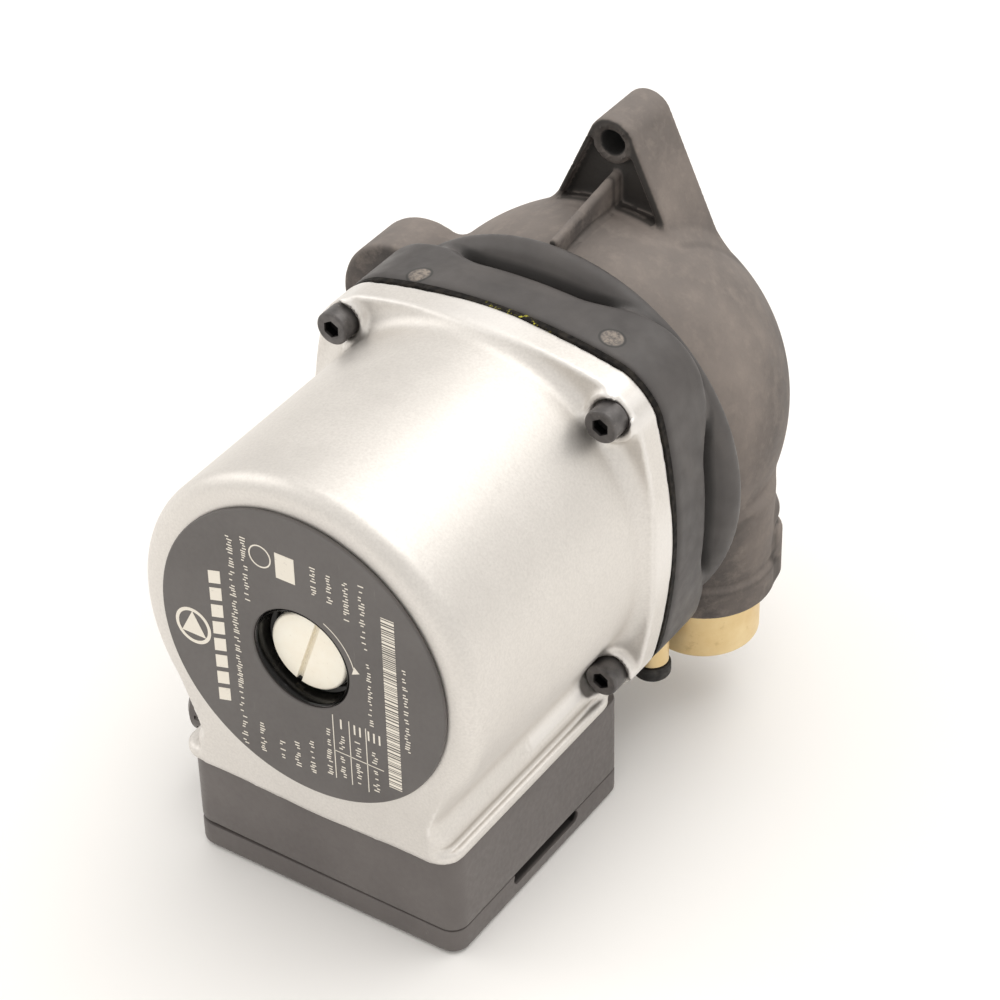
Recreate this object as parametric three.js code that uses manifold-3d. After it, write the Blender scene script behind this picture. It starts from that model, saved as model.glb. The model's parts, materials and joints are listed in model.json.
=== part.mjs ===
// Wet-rotor circulator pump with a composite head and air separator. Millimetres, +Z up.
// It stands on its terminal box cover at Z = 0. The motor axis runs along Y, front to back.
import * as THREE from "three";
import { mergeVertices } from "three/addons/utils/BufferGeometryUtils.js";
import Module from "manifold-3d";

const wasm = await Module();
wasm.setup();

// Driving sizes
const GAP = 0.3; // between pieces that touch
const RUN = 0.1; // radial clearance of a running fit
const AXIS_Z = 77; // height of the motor axis
const PLATE_R = 39; // name plate
const MOTOR_R = 46.5; // cast motor housing
const MOTOR_FRONT = -37.4;
const FLANGE_BACK = 41;
const FLANGE_THICK = 7.5;
const SCREW_OFFSET = 37.2; // flange screws, sideways and up or down from the axis
const GASKET_THICK = 2;
const RIM_R = 53; // round rim at the back of the pump head
const RIM_BACK = 66;
const DOME_R = 49.4; // air separator
const DOME_Y = 82;
const DOME_WALL = 3.4;
const BOX_LEFT = -39.2; // terminal box
const BOX_RIGHT = 37.4;
const BOX_FRONT = -34.7;
const BOX_BACK = 37;
const BOX_TOP = 30;
const BOX_WALL = 2.2;
const COVER_TOP = 7;
const SHAFT_R = 5;
const BEARING_R = 9;

// Worked out from the driving sizes
const FLANGE_FRONT = FLANGE_BACK - FLANGE_THICK;
const BORE_R = MOTOR_R - 4.2; // stator seat
const FRONT_WALL = 3;
const PLUG_HOLE_R = PLATE_R / 3 + 0.2;
const HEAD_FRONT = FLANGE_BACK + GASKET_THICK;
const HEAD_FLANGE_BACK = HEAD_FRONT + 14.5;
const CAN_R = 22;
const CAN_WALL = 0.6;
const CAN_FRONT = MOTOR_FRONT + 12.2;
const ROTOR_R = CAN_R - CAN_WALL - 0.4;
const SEAL_R = 38; // bore of the gasket and of the recess in the pump head
const VOLUTE_R = 36;
const VOLUTE_FRONT = HEAD_FRONT + 4.8;
const VOLUTE_BACK = RIM_BACK - 2.5;
const DOME_FRONT = RIM_BACK + GAP;
const EYE_R = 15.1; // hole in the pump head behind the impeller
const EAR = { bore: 3.2, tip: 6.5, z: 143.5, front: 92, back: 110, foot: 21.5, footZ: 112 };
const INLET = { x: 32.4, y: 84, collar: 18, tube: 14.5, wall: 3, collarBottom: 32, bottom: 17 };
const OUTLET = { x: -45.6, z: 96, r: 16.8, bore: 12.5, front: DOME_FRONT, back: 82.3 };
const LUG = { r: 6, reach: 13.4, turn: 35, top: 55 }; // bulge on the outside of the inlet collar
const DUCT = { x: -28, z: 93, r: 6, wall: 2 };
const STUB = { x: 31.9, y: 60.3, r: 4.2, cap: 4.8, bottom: 17.2, shoulder: 21.2, top: 45 };
const GLAND = { y: -8, z: 19.5, r: 8.6 };
const SELECTOR = { x: -17, y: 10, r: 8 };
const PLUG = { front: MOTOR_FRONT + 1.8, r: 10.3, head: 3.6, shank: 8.2, pitch: 1.5 };
const CAPACITOR = { x: 22, z: 15.5, r: 9, front: -14, back: 27 };
const BOX_SCREW = { x: 27, y: 24, r: 1.7, head: 3.4 };

const FINISHES = {
  cast_aluminium: [0xb9b4ad, 0.42, 0.85],
  plate_print: [0x4b4745, 0.5, 0],
  black_moulding: [0x1b1a1a, 0.35, 0],
  plug_nickel: [0xd9d2bf, 0.35, 0.8],
  rubber: [0x161616, 0.8, 0],
  steel: [0xa9abad, 0.4, 0.9],
  laminations: [0x6d6f73, 0.6, 0.7],
  copper: [0xb4683a, 0.45, 0.8],
  ceramic: [0xe6e1d6, 0.3, 0],
  carbon: [0x2b2b2d, 0.6, 0],
  impeller_plastic: [0xcfc7b6, 0.5, 0],
  head_composite: [0x5c5757, 0.55, 0],
  dome_composite: [0x7a7066, 0.8, 0],
  brass: [0xc9a561, 0.45, 0.8],
  black_screw: [0x35322f, 0.5, 0.6],
  box_plastic: [0x4a4543, 0.5, 0],
  terminal_plastic: [0xd8d5cc, 0.5, 0],
  capacitor_shell: [0xc8c8c6, 0.45, 0],
};

const pump = new THREE.Group();

// Shape helpers

const at = (x, y) => new THREE.Vector2(x, y);

// A closed three.js geometry as a solid that can be joined and cut.
function solid(geometry) {
  const bare = geometry.clone();
  bare.deleteAttribute("normal");
  bare.deleteAttribute("uv");
  const merged = mergeVertices(bare, 1e-4);
  return new wasm.Manifold(
    new wasm.Mesh({
      numProp: 3,
      vertProperties: merged.attributes.position.array,
      triVerts: new Uint32Array(merged.index.array),
    }),
  );
}

function geometryOf(made) {
  const { vertProperties, triVerts } = made.getMesh();
  const geometry = new THREE.BufferGeometry();
  geometry.setAttribute("position", new THREE.BufferAttribute(vertProperties, 3));
  geometry.setIndex(new THREE.BufferAttribute(triVerts, 1));
  geometry.computeVertexNormals();
  return geometry;
}

function add(name, finish, made) {
  const [color, roughness, metalness] = FINISHES[finish];
  const material = new THREE.MeshStandardMaterial({ color, roughness, metalness });
  const mesh = new THREE.Mesh(geometryOf(made), material);
  mesh.name = name;
  pump.add(mesh);
}

// Points along an arc about (x, y), from one angle to another in degrees.
function arc(x, y, r, from, to, steps) {
  const points = [];
  for (let i = 0; i <= steps; i += 1) {
    const angle = THREE.MathUtils.degToRad(from + ((to - from) * i) / steps);
    points.push(at(x + r * Math.cos(angle), y + r * Math.sin(angle)));
  }
  return points;
}

// A body of revolution about a line along Y. The profile holds (radius, y) points.
function turned(profile, { segments = 36, x = 0, z = AXIS_Z } = {}) {
  const points = [...profile];
  const onAxis = points[0].x === 0 && points.at(-1).x === 0;
  if (THREE.ShapeUtils.area(points) < 0) points.reverse();
  if (!onAxis) points.push(points[0].clone());
  return solid(new THREE.LatheGeometry(points, segments).translate(x, 0, z));
}

// A ring or disc about a line along Y.
function ringY(inner, outer, front, back, options) {
  const profile = [at(inner, front), at(outer, front), at(outer, back), at(inner, back)];
  return turned(profile, options);
}

function rodY(r, front, back, { x = 0, z = AXIS_Z, segments = 24 } = {}) {
  const rod = new THREE.CylinderGeometry(r, r, back - front, segments);
  return solid(rod.translate(x, (front + back) / 2, z));
}

function rodZ(r, bottom, top, x, y, segments = 24) {
  const rod = new THREE.CylinderGeometry(r, r, top - bottom, segments).rotateX(Math.PI / 2);
  return solid(rod.translate(x, y, (bottom + top) / 2));
}

function rodX(r, left, right, y, z, segments = 18) {
  const rod = new THREE.CylinderGeometry(r, r, right - left, segments).rotateZ(Math.PI / 2);
  return solid(rod.translate((left + right) / 2, y, z));
}

// A rod between two points given as (x, y, z).
function rodBetween(start, end, r, segments = 14) {
  const from = new THREE.Vector3(...start);
  const way = new THREE.Vector3(...end).sub(from);
  const rod = new THREE.CylinderGeometry(r, r, way.length(), segments);
  rod.translate(0, way.length() / 2, 0);
  const turn = new THREE.Quaternion();
  turn.setFromUnitVectors(new THREE.Vector3(0, 1, 0), way.clone().normalize());
  return solid(rod.applyQuaternion(turn).translate(...start));
}

function block(low, high) {
  const size = high.map((value, i) => value - low[i]);
  const centre = high.map((value, i) => (value + low[i]) / 2);
  return solid(new THREE.BoxGeometry(...size).translate(...centre));
}

// A shape drawn in X and Z, given depth along Y.
function plateY(shape, front, back, curveSegments = 3) {
  const settings = { depth: back - front, bevelEnabled: false, curveSegments };
  const geometry = new THREE.ExtrudeGeometry(shape, settings).rotateX(Math.PI / 2);
  return solid(geometry.translate(0, back, 0));
}

function plateZ(shape, bottom, top, curveSegments = 2) {
  const settings = { depth: top - bottom, bevelEnabled: false, curveSegments };
  return solid(new THREE.ExtrudeGeometry(shape, settings).translate(0, 0, bottom));
}

// The flange outline: a square with bowed sides that run smoothly into round corners.
function flangeShape(inset = 0) {
  const corner = 36;
  const cornerR = 8 - inset;
  const middle = 49 - inset;
  const bow = corner - middle;
  const sideR = (cornerR ** 2 - bow ** 2 - corner ** 2) / (2 * (bow + cornerR));
  const sideX = middle - sideR;
  const half = Math.atan2(corner, corner - sideX);
  const shape = new THREE.Shape();
  for (let side = 0; side < 4; side += 1) {
    const turn = (side * Math.PI) / 2;
    const centre = at(sideX, 0).rotateAround(at(0, 0), turn);
    const round = at(corner, corner).rotateAround(at(0, 0), turn);
    shape.absarc(centre.x, centre.y + AXIS_Z, sideR, turn - half, turn + half);
    const end = turn + Math.PI / 2 - half;
    shape.absarc(round.x, round.y + AXIS_Z, cornerR, turn + half, end);
  }
  return shape;
}

// The terminal box's outline, drawn in by an inset, with its back wall moved to backY.
function boxShape(inset, r, backY) {
  const [left, right] = [BOX_LEFT + inset + r, BOX_RIGHT - inset - r];
  const [front, back] = [BOX_FRONT + inset + r, backY - r];
  const shape = new THREE.Shape();
  shape.absarc(right, front, r, -Math.PI / 2, 0);
  shape.absarc(right, back, r, 0, Math.PI / 2);
  shape.absarc(left, back, r, Math.PI / 2, Math.PI);
  shape.absarc(left, front, r, Math.PI, Math.PI * 1.5);
  return shape;
}

function eachScrew(place) {
  const corners = [[1, 1], [-1, 1], [-1, -1], [1, -1]];
  corners.forEach(([side, up], i) => {
    place(side * SCREW_OFFSET, AXIS_Z + up * SCREW_OFFSET, i + 1);
  });
}

// The four clearance holes for the flange screws, cut through a piece.
function drilled(made, r, front, back) {
  let cut = made;
  eachScrew((x, z) => {
    cut = cut.subtract(rodY(r, front - 1, back + 1, { x, z, segments: 12 }));
  });
  return cut;
}

// Motor

function motorHousing() {
  const frontFillet = arc(MOTOR_R - 4.5, MOTOR_FRONT + 4.5, 4.5, -90, 0, 4);
  const barrel = turned([
    at(0, MOTOR_FRONT), ...frontFillet, at(MOTOR_R + 0.3, FLANGE_BACK - 1), at(0, FLANGE_BACK - 1),
  ]);
  const skirtShape = new THREE.Shape();
  skirtShape.moveTo(BOX_LEFT - 0.6, BOX_TOP);
  skirtShape.lineTo(BOX_RIGHT + 0.6, BOX_TOP);
  skirtShape.lineTo(BOX_RIGHT + 0.6, BOX_TOP + 2.8);
  skirtShape.quadraticCurveTo(33, BOX_TOP + 7, 32, BOX_TOP + 16);
  skirtShape.lineTo(-32, BOX_TOP + 16);
  skirtShape.quadraticCurveTo(-33, BOX_TOP + 7, BOX_LEFT - 0.6, BOX_TOP + 2.8);
  const skirt = plateY(skirtShape, MOTOR_FRONT, FLANGE_FRONT + 0.5, 2);
  const flange = plateY(flangeShape(), FLANGE_FRONT, FLANGE_BACK);
  const seat = rodY(BORE_R, MOTOR_FRONT + FRONT_WALL, FLANGE_BACK + 1, { segments: 36 });
  const plugHole = rodY(PLUG_HOLE_R, MOTOR_FRONT - 1, 0);
  const leadHole = block([-12, -10, BOX_TOP - 1], [12, 10, AXIS_Z - BORE_R + 3]);
  let body = barrel.add(skirt).add(flange).subtract(seat).subtract(plugHole).subtract(leadHole);
  for (const side of [-1, 1]) {
    body = body.subtract(rodZ(2, BOX_TOP - 1, BOX_TOP + 8, side * BOX_SCREW.x, BOX_SCREW.y, 12));
  }
  // Spot faces leave a key's room in front of the screw heads.
  eachScrew((x, z) => {
    body = body.subtract(rodY(4.9, FLANGE_FRONT - 10, FLANGE_FRONT, { x, z, segments: 16 }));
  });
  return drilled(body, 2.9, FLANGE_FRONT, FLANGE_BACK);
}

function statorSlots(grow, front, back) {
  const slots = [];
  const count = 12;
  for (let i = 0; i < count; i += 1) {
    const bar = new THREE.BoxGeometry(8 + grow, back - front, 4 + grow);
    bar.translate(30, (front + back) / 2, 0);
    bar.rotateY((i * 2 * Math.PI) / count);
    slots.push(solid(bar.translate(0, 0, AXIS_Z)));
  }
  return slots;
}

const CORE = { front: -9, back: 29 };

function statorCore() {
  const ring = ringY(CAN_R + GAP, BORE_R - GAP, CORE.front, CORE.back);
  return statorSlots(0, CORE.front - 1, CORE.back + 1).reduce((made, slot) => made.subtract(slot), ring);
}

function windingEnd(front, back) {
  const profile = [
    at(24, front + 2), at(27, front), at(35, front), at(39, front + 3),
    at(39, back - 3), at(35, back), at(27, back), at(24, back - 2),
  ];
  return turned(profile);
}

function statorWinding() {
  const frontEnd = windingEnd(CORE.front - 12.3, CORE.front - GAP);
  const backEnd = windingEnd(CORE.back + GAP, CORE.back + 9.5);
  const bars = statorSlots(-2 * GAP, CORE.front - 1, CORE.back + 1);
  return bars.reduce((made, bar) => made.add(bar), frontEnd.add(backEnd));
}

// A thin can with a threaded neck in front and a flange behind.
function rotorCan() {
  const flangeFront = FLANGE_BACK + GAP;
  const neckR = PLUG_HOLE_R - GAP;
  return turned([
    at(PLUG.shank + GAP, CAN_FRONT - 4.6), at(neckR, CAN_FRONT - 4.6), at(neckR, CAN_FRONT),
    at(CAN_R, CAN_FRONT), at(CAN_R, flangeFront), at(SEAL_R - 0.4, flangeFront),
    at(SEAL_R - 0.4, flangeFront + 1), at(CAN_R - CAN_WALL, flangeFront + 1),
    at(CAN_R - CAN_WALL, CAN_FRONT + 0.8), at(PLUG.shank + GAP, CAN_FRONT + 0.8),
  ]);
}

// Front trim

function namePlate() {
  return ringY(PLUG_HOLE_R, PLATE_R, MOTOR_FRONT - 1.2, MOTOR_FRONT - GAP, { segments: 48 });
}

function ventSeatRing() {
  const outer = PLUG_HOLE_R - GAP;
  const front = MOTOR_FRONT - 0.8;
  return turned([
    at(PLUG.r + 0.5, front + 1), at(outer - 1, front), at(outer, front + 1),
    at(outer, CAN_FRONT - 4.9), at(PLUG.r + 0.5, CAN_FRONT - 4.9),
  ]);
}

function ventPlug() {
  const under = PLUG.front + PLUG.head;
  const body = turned([
    at(0, PLUG.front), at(PLUG.r - 0.5, PLUG.front), at(PLUG.r, PLUG.front + 0.5),
    at(PLUG.r, under), at(PLUG.shank, under), at(PLUG.shank, CAN_FRONT - 0.6), at(0, CAN_FRONT - 0.6),
  ], { segments: 28 });
  const slot = new THREE.BoxGeometry(2 * PLUG.r + 2, 3, 1.7).rotateY(THREE.MathUtils.degToRad(-70.7));
  return body.subtract(solid(slot.translate(0, PLUG.front, AXIS_Z)));
}

function oRing(middleR, cordR, y) {
  return turned(arc(middleR, y, cordR, 0, 360, 6).slice(0, -1), { segments: 24 });
}

function plugORing() {
  return oRing(PLUG.shank + 1.05, 0.75, (PLUG.front + PLUG.head + CAN_FRONT - 4.6) / 2);
}

// Rotor and its bearings

function bearing(front, back) {
  return ringY(SHAFT_R + RUN, BEARING_R, front, back, { segments: 24 });
}

const FRONT_BEARING = { front: CAN_FRONT + 3.6, back: CAN_FRONT + 13.6 };
const REAR_BEARING = { front: 36, back: 46 };

function frontBearingCarrier() {
  const { front, back } = FRONT_BEARING;
  const inner = BEARING_R + GAP;
  const outer = CAN_R - CAN_WALL - GAP;
  return turned([
    at(inner, front), at(inner + 2, front), at(inner + 2, front + 4), at(outer, front + 4),
    at(outer, back - 1), at(inner, back - 1),
  ], { segments: 28 });
}

function bearingPlate() {
  const hub = BEARING_R + GAP;
  const plateFront = FLANGE_BACK + GAP + 1 + GAP;
  return turned([
    at(hub, REAR_BEARING.front + 1), at(hub + 2, REAR_BEARING.front + 1), at(hub + 2, plateFront),
    at(SEAL_R - 0.5, plateFront), at(SEAL_R - 0.5, plateFront + 2.2), at(hub + 2, plateFront + 2.2),
    at(hub + 2, REAR_BEARING.back + 1), at(hub, REAR_BEARING.back + 1),
  ]);
}

function impeller() {
  const front = 50;
  const back = 59.5;
  const hub = ringY(SHAFT_R + GAP, 8, front - 1, back - 3, { segments: 20 });
  const frontShroud = ringY(SHAFT_R + GAP, 29, front, front + 1.6);
  const neck = turned([
    at(11, back - 1.5), at(29, back - 3), at(29, back - 1.5), at(12.6, back),
    at(12.6, RIM_BACK - 1), at(11, RIM_BACK - 1),
  ]);
  let wheel = hub.add(frontShroud).add(neck);
  const blades = 6;
  for (let i = 0; i < blades; i += 1) {
    const blade = new THREE.Shape();
    blade.absarc(0, 17, 20, -Math.PI * 0.36, Math.PI * 0.02);
    blade.absarc(0, 17, 18.6, Math.PI * 0.02, -Math.PI * 0.36, true);
    const settings = { depth: back - front - 3.2, bevelEnabled: false, curveSegments: 2 };
    const geometry = new THREE.ExtrudeGeometry(blade, settings).rotateX(Math.PI / 2);
    geometry.rotateY((i * 2 * Math.PI) / blades).translate(0, back - 2.2, AXIS_Z);
    wheel = wheel.add(solid(geometry));
  }
  return wheel;
}

// Pump head and air separator

function gasket() {
  const outer = plateY(flangeShape(1), FLANGE_BACK + GAP, HEAD_FRONT - GAP);
  const bore = rodY(SEAL_R, FLANGE_BACK, HEAD_FRONT, { segments: 36 });
  return drilled(outer.subtract(bore), 2.9, FLANGE_BACK, HEAD_FRONT);
}

function pumpHead() {
  const flange = plateY(flangeShape(), HEAD_FRONT, HEAD_FLANGE_BACK);
  const rim = turned([
    at(0, HEAD_FLANGE_BACK - 1), at(45, HEAD_FLANGE_BACK - 1), at(RIM_R, HEAD_FLANGE_BACK + 4.5),
    at(RIM_R, RIM_BACK - 1.5), at(RIM_R - 1.5, RIM_BACK), at(0, RIM_BACK),
  ], { segments: 48 });
  const hollow = turned([
    at(0, HEAD_FRONT - 1), at(SEAL_R, HEAD_FRONT - 1), at(SEAL_R, VOLUTE_FRONT),
    at(VOLUTE_R, VOLUTE_FRONT), at(VOLUTE_R, VOLUTE_BACK), at(EYE_R, VOLUTE_BACK),
    at(EYE_R, RIM_BACK + 1), at(0, RIM_BACK + 1),
  ]);
  const ductHole = rodY(DUCT.r, VOLUTE_FRONT + 4, RIM_BACK + 1, { x: DUCT.x, z: DUCT.z, segments: 14 });
  const stubSeat = rodZ(STUB.r + GAP, 20, STUB.top + GAP, STUB.x, STUB.y, 16);
  const stubBore = rodZ(1.5, STUB.top, AXIS_Z - 10, STUB.x, STUB.y, 8);
  let head = flange.add(rim).subtract(hollow).subtract(ductHole).subtract(stubSeat);
  head = head.subtract(stubBore);
  return drilled(head, 2.7, HEAD_FRONT, HEAD_FLANGE_BACK - 3);
}

function wearRing() {
  return turned([
    at(12.9, VOLUTE_BACK - 1.5), at(EYE_R + 2, VOLUTE_BACK - 1.5), at(EYE_R + 2, VOLUTE_BACK - GAP),
    at(EYE_R - GAP, VOLUTE_BACK - GAP), at(EYE_R - GAP, RIM_BACK), at(12.9, RIM_BACK),
  ]);
}

function earShape(inset) {
  const tip = EAR.tip - inset;
  const lean = Math.atan2(EAR.foot - EAR.tip, EAR.z - EAR.footZ);
  const shape = new THREE.Shape();
  shape.moveTo(inset - EAR.foot, EAR.footZ);
  shape.lineTo(EAR.foot - inset, EAR.footZ);
  shape.absarc(0, EAR.z, tip, lean, Math.PI - lean);
  return shape;
}

function ear() {
  const plate = plateY(earShape(0), EAR.front, EAR.back, 4);
  const recess = plateY(earShape(2.6), EAR.front - 1, EAR.front + 4, 3);
  const boss = rodY(EAR.tip, EAR.front, EAR.front + 6, { z: EAR.z, segments: 18 });
  const web = block([-2.6, EAR.front, EAR.footZ], [2.6, EAR.front + 5, EAR.z]);
  return plate.subtract(recess).add(boss).add(web);
}

function earBore() {
  const bore = rodY(EAR.bore, EAR.front - 1, EAR.back + 1, { z: EAR.z, segments: 16 });
  return bore.add(rodY(EAR.bore + 1.1, EAR.front - 1, EAR.front + 0.8, { z: EAR.z, segments: 16 }));
}

function rib() {
  const side = new THREE.Shape();
  side.moveTo(DOME_FRONT, AXIS_Z + 43);
  side.lineTo(EAR.front + 1, AXIS_Z + 38);
  side.lineTo(EAR.front + 1, AXIS_Z + 61);
  side.lineTo(DOME_FRONT, AXIS_Z + 56);
  const settings = { depth: 2.6, bevelEnabled: false };
  const geometry = new THREE.ExtrudeGeometry(side, settings).translate(0, 0, -1.3);
  geometry.rotateY(Math.PI / 2).rotateX(Math.PI / 2);
  return solid(geometry);
}

function domeProfile(r) {
  const start = THREE.MathUtils.radToDeg(Math.asin((DOME_FRONT - DOME_Y) / r));
  return [at(0, DOME_FRONT), ...arc(0, DOME_Y, r, start, 90, 9).slice(0, -1), at(0, DOME_Y + r)];
}

function airSeparator() {
  const inner = DOME_R - DOME_WALL;
  const collar = rodZ(INLET.collar, INLET.collarBottom, 42, INLET.x, INLET.y, 30);
  const neck = rodZ(INLET.collar - 1.2, 41, 60, INLET.x, INLET.y, 30);
  const turn = THREE.MathUtils.degToRad(LUG.turn);
  const lugX = INLET.x + LUG.reach * Math.cos(turn);
  const lugY = INLET.y + LUG.reach * Math.sin(turn);
  const lug = rodZ(LUG.r, INLET.collarBottom + 1, LUG.top, lugX, lugY, 16);
  const port = rodY(OUTLET.r, OUTLET.front, OUTLET.back, { x: OUTLET.x, z: OUTLET.z });
  const ductStart = [DUCT.x, DOME_FRONT - 8, DUCT.z];
  const ductEnd = [OUTLET.x + 2, OUTLET.front + 9, OUTLET.z - 1];
  const front = block([-80, DOME_FRONT - 20, 0], [80, DOME_FRONT, 160]);
  const cavity = turned(domeProfile(inner)).add(rodY(inner - 3, 50, DOME_Y, { segments: 36 }));
  const shell = turned(domeProfile(DOME_R)).add(collar).add(neck).add(lug).add(port).add(ear()).add(rib());
  const inletBore = rodZ(INLET.tube + GAP, INLET.bottom, 50, INLET.x, INLET.y, 30);
  const duct = rodBetween(ductStart, ductEnd, DUCT.r + DUCT.wall);
  const ductBore = rodBetween(ductStart, ductEnd, DUCT.r);
  const portBore = rodY(OUTLET.bore, OUTLET.front + 3, OUTLET.back + 1, { x: OUTLET.x, z: OUTLET.z });
  const portSkin = port.subtract(portBore);
  return shell.subtract(cavity).add(duct).add(portSkin).subtract(front)
    .subtract(ductBore).subtract(portBore).subtract(inletBore).subtract(earBore());
}

function inletSocket() {
  const outer = rodZ(INLET.tube, INLET.bottom, 42, INLET.x, INLET.y, 30);
  const bore = rodZ(INLET.tube - INLET.wall, INLET.bottom - 1, 43, INLET.x, INLET.y, 30);
  return outer.subtract(bore);
}

function flangeScrew(x, z) {
  const headFront = 27.8;
  const seat = FLANGE_FRONT - GAP;
  const hexR = 4 / Math.sqrt(3);
  const body = turned([
    at(0, headFront), at(3.9, headFront), at(4.3, headFront + 0.4), at(4.3, seat),
    at(2.4, seat), at(2.4, HEAD_FLANGE_BACK - 4.5), at(0, HEAD_FLANGE_BACK - 4.5),
  ], { segments: 16, x, z });
  return body.subtract(rodY(hexR, headFront - 1, headFront + 2.6, { x, z, segments: 6 }));
}

function sensorStub() {
  const { x, y, r } = STUB;
  const body = rodZ(r, STUB.shoulder + GAP, STUB.top, x, y, 16);
  return body.subtract(rodZ(1.5, STUB.shoulder, STUB.top + 1, x, y, 8));
}

function stubCap() {
  return rodZ(STUB.cap, STUB.bottom, STUB.shoulder, STUB.x, STUB.y, 16);
}

// Terminal box

function boxBlock(bottom, top) {
  return plateZ(boxShape(0, 7, BOX_BACK), bottom, top);
}

function boxHollow(bottom, top, backY) {
  return plateZ(boxShape(BOX_WALL, 4.8, backY), bottom, top);
}

// The base's top back edge is cut away for the motor flange, so its hollow is shorter up there.
function terminalBoxBase() {
  const top = BOX_TOP - GAP;
  const hollowTop = top - BOX_WALL;
  let base = boxBlock(COVER_TOP + GAP, top);
  base = base.subtract(boxHollow(COVER_TOP, 25, BOX_BACK - BOX_WALL));
  base = base.subtract(boxHollow(24, hollowTop, FLANGE_FRONT - BOX_WALL - GAP));
  base = base.subtract(plateY(flangeShape(-GAP), FLANGE_FRONT - GAP, FLANGE_BACK));
  base = base.subtract(block([-11, -9, top - 5], [11, 9, top + 1]));
  base = base.subtract(rodX(6.4, BOX_LEFT - 1, BOX_LEFT + 5, GLAND.y, GLAND.z, 18));
  for (const side of [-1, 1]) {
    base = base.subtract(rodZ(2, top - 5, top + 1, side * BOX_SCREW.x, BOX_SCREW.y, 12));
  }
  return base;
}

function terminalBoxCover() {
  const cover = boxBlock(0, COVER_TOP).subtract(boxHollow(BOX_WALL, COVER_TOP + 1, BOX_BACK - BOX_WALL));
  const latch = block([BOX_RIGHT - 1.2, -11, COVER_TOP - 3.6], [BOX_RIGHT + 1, 17, COVER_TOP + 1]);
  const hole = rodZ(SELECTOR.r + GAP, -1, 5, SELECTOR.x, SELECTOR.y);
  return cover.subtract(latch).subtract(hole);
}

function terminalBlock() {
  let made = block([-17, -30, 14], [17, -17, BOX_TOP - 3]);
  for (const x of [-11, 0, 11]) {
    made = made.subtract(rodZ(2.2, 13, 19, x, -23.5, 12));
    made = made.subtract(block([x - 2, -18, 19], [x + 2, -16, 23]));
  }
  return made;
}

function capacitor() {
  const { x, z, r, front, back } = CAPACITOR;
  const bevel = 1;
  return turned([
    at(0, front), at(r - bevel, front), at(r, front + bevel), at(r, back - bevel),
    at(r - bevel, back), at(0, back),
  ], { segments: 20, x, z });
}

function selectorSwitch() {
  const body = rodZ(9.5, 8.2, 24, SELECTOR.x, SELECTOR.y, 18);
  const foot = block([SELECTOR.x - 8, SELECTOR.y - 9.8, 20], [SELECTOR.x + 8, SELECTOR.y + 9.8, 27]);
  return body.add(foot);
}

function speedSelector() {
  const { x, y, r } = SELECTOR;
  const knob = rodZ(r, 0.6, 7.9, x, y);
  const slot = block([x - r + 1.5, y - 1, 0], [x + r - 1.5, y + 1, 2.2]);
  const pointer = block([x - 0.8, y + 2, 0], [x + 0.8, y + r - 1, 1.2]);
  return knob.subtract(slot).subtract(pointer);
}

function boxScrew(side) {
  const x = side * BOX_SCREW.x;
  const under = BOX_TOP - GAP - 2.2 - GAP;
  const head = rodZ(BOX_SCREW.head, under - 2.4, under, x, BOX_SCREW.y, 12);
  const shank = rodZ(BOX_SCREW.r, under - 1, BOX_TOP + 7, x, BOX_SCREW.y, 10);
  const cross = block([x - 2, BOX_SCREW.y - 0.4, under - 3], [x + 2, BOX_SCREW.y + 0.4, under - 1.4]);
  return head.add(shank).subtract(cross);
}

function glandBody() {
  const wall = BOX_LEFT - GAP;
  const collar = rodX(GLAND.r + 0.9, wall - 4, wall, GLAND.y, GLAND.z);
  const thread = rodX(6.1, wall - 8, BOX_LEFT + 6, GLAND.y, GLAND.z);
  return collar.add(thread).subtract(rodX(4.2, wall - 9, BOX_LEFT + 7, GLAND.y, GLAND.z, 14));
}

function glandNut() {
  const start = BOX_LEFT - 4 - 2 * GAP;
  const nut = rodX(GLAND.r, start - 13, start, GLAND.y, GLAND.z, 12);
  const thread = rodX(6.1 + GAP, start - 7.5, start + 1, GLAND.y, GLAND.z);
  return nut.subtract(thread).subtract(rodX(4.4, start - 14, start, GLAND.y, GLAND.z, 14));
}

function glandSeal() {
  const end = BOX_LEFT - 8 - 2 * GAP;
  const seal = rodX(6, end - 2.8, end, GLAND.y, GLAND.z, 14);
  return seal.subtract(rodX(3.4, end - 4, end + 1, GLAND.y, GLAND.z, 14));
}

add("motor_housing", "cast_aluminium", motorHousing());
add("nameplate", "plate_print", namePlate());
add("vent_seat_ring", "black_moulding", ventSeatRing());
add("vent_plug", "plug_nickel", ventPlug());
add("vent_plug_o_ring", "rubber", plugORing());
add("stator_core", "laminations", statorCore());
add("stator_winding", "copper", statorWinding());
add("rotor_can", "steel", rotorCan());
add("front_bearing_carrier", "rubber", frontBearingCarrier());
add("front_bearing", "ceramic", bearing(FRONT_BEARING.front, FRONT_BEARING.back));
add("rear_bearing", "ceramic", bearing(REAR_BEARING.front, REAR_BEARING.back));
add("bearing_plate", "steel", bearingPlate());
add("shaft", "ceramic", rodY(SHAFT_R, CAN_FRONT + 2.6, 55));
add("rotor_core", "steel", ringY(SHAFT_R + GAP, ROTOR_R, CORE.front + 2, CORE.back));
add("thrust_ring", "carbon", ringY(SHAFT_R + GAP, BEARING_R, CORE.back + 2, REAR_BEARING.front - 0.5));
add("impeller", "impeller_plastic", impeller());
add("flange_gasket", "rubber", gasket());
add("plate_o_ring", "rubber", oRing(SEAL_R - 2.5, 1, 46.4));
add("pump_head", "head_composite", pumpHead());
add("wear_ring", "steel", wearRing());
add("air_separator", "dome_composite", airSeparator());
add("inlet_socket", "brass", inletSocket());
add("sensor_stub", "brass", sensorStub());
add("stub_cap", "rubber", stubCap());
eachScrew((x, z, number) => add(`flange_screw_${number}`, "black_screw", flangeScrew(x, z)));
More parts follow.
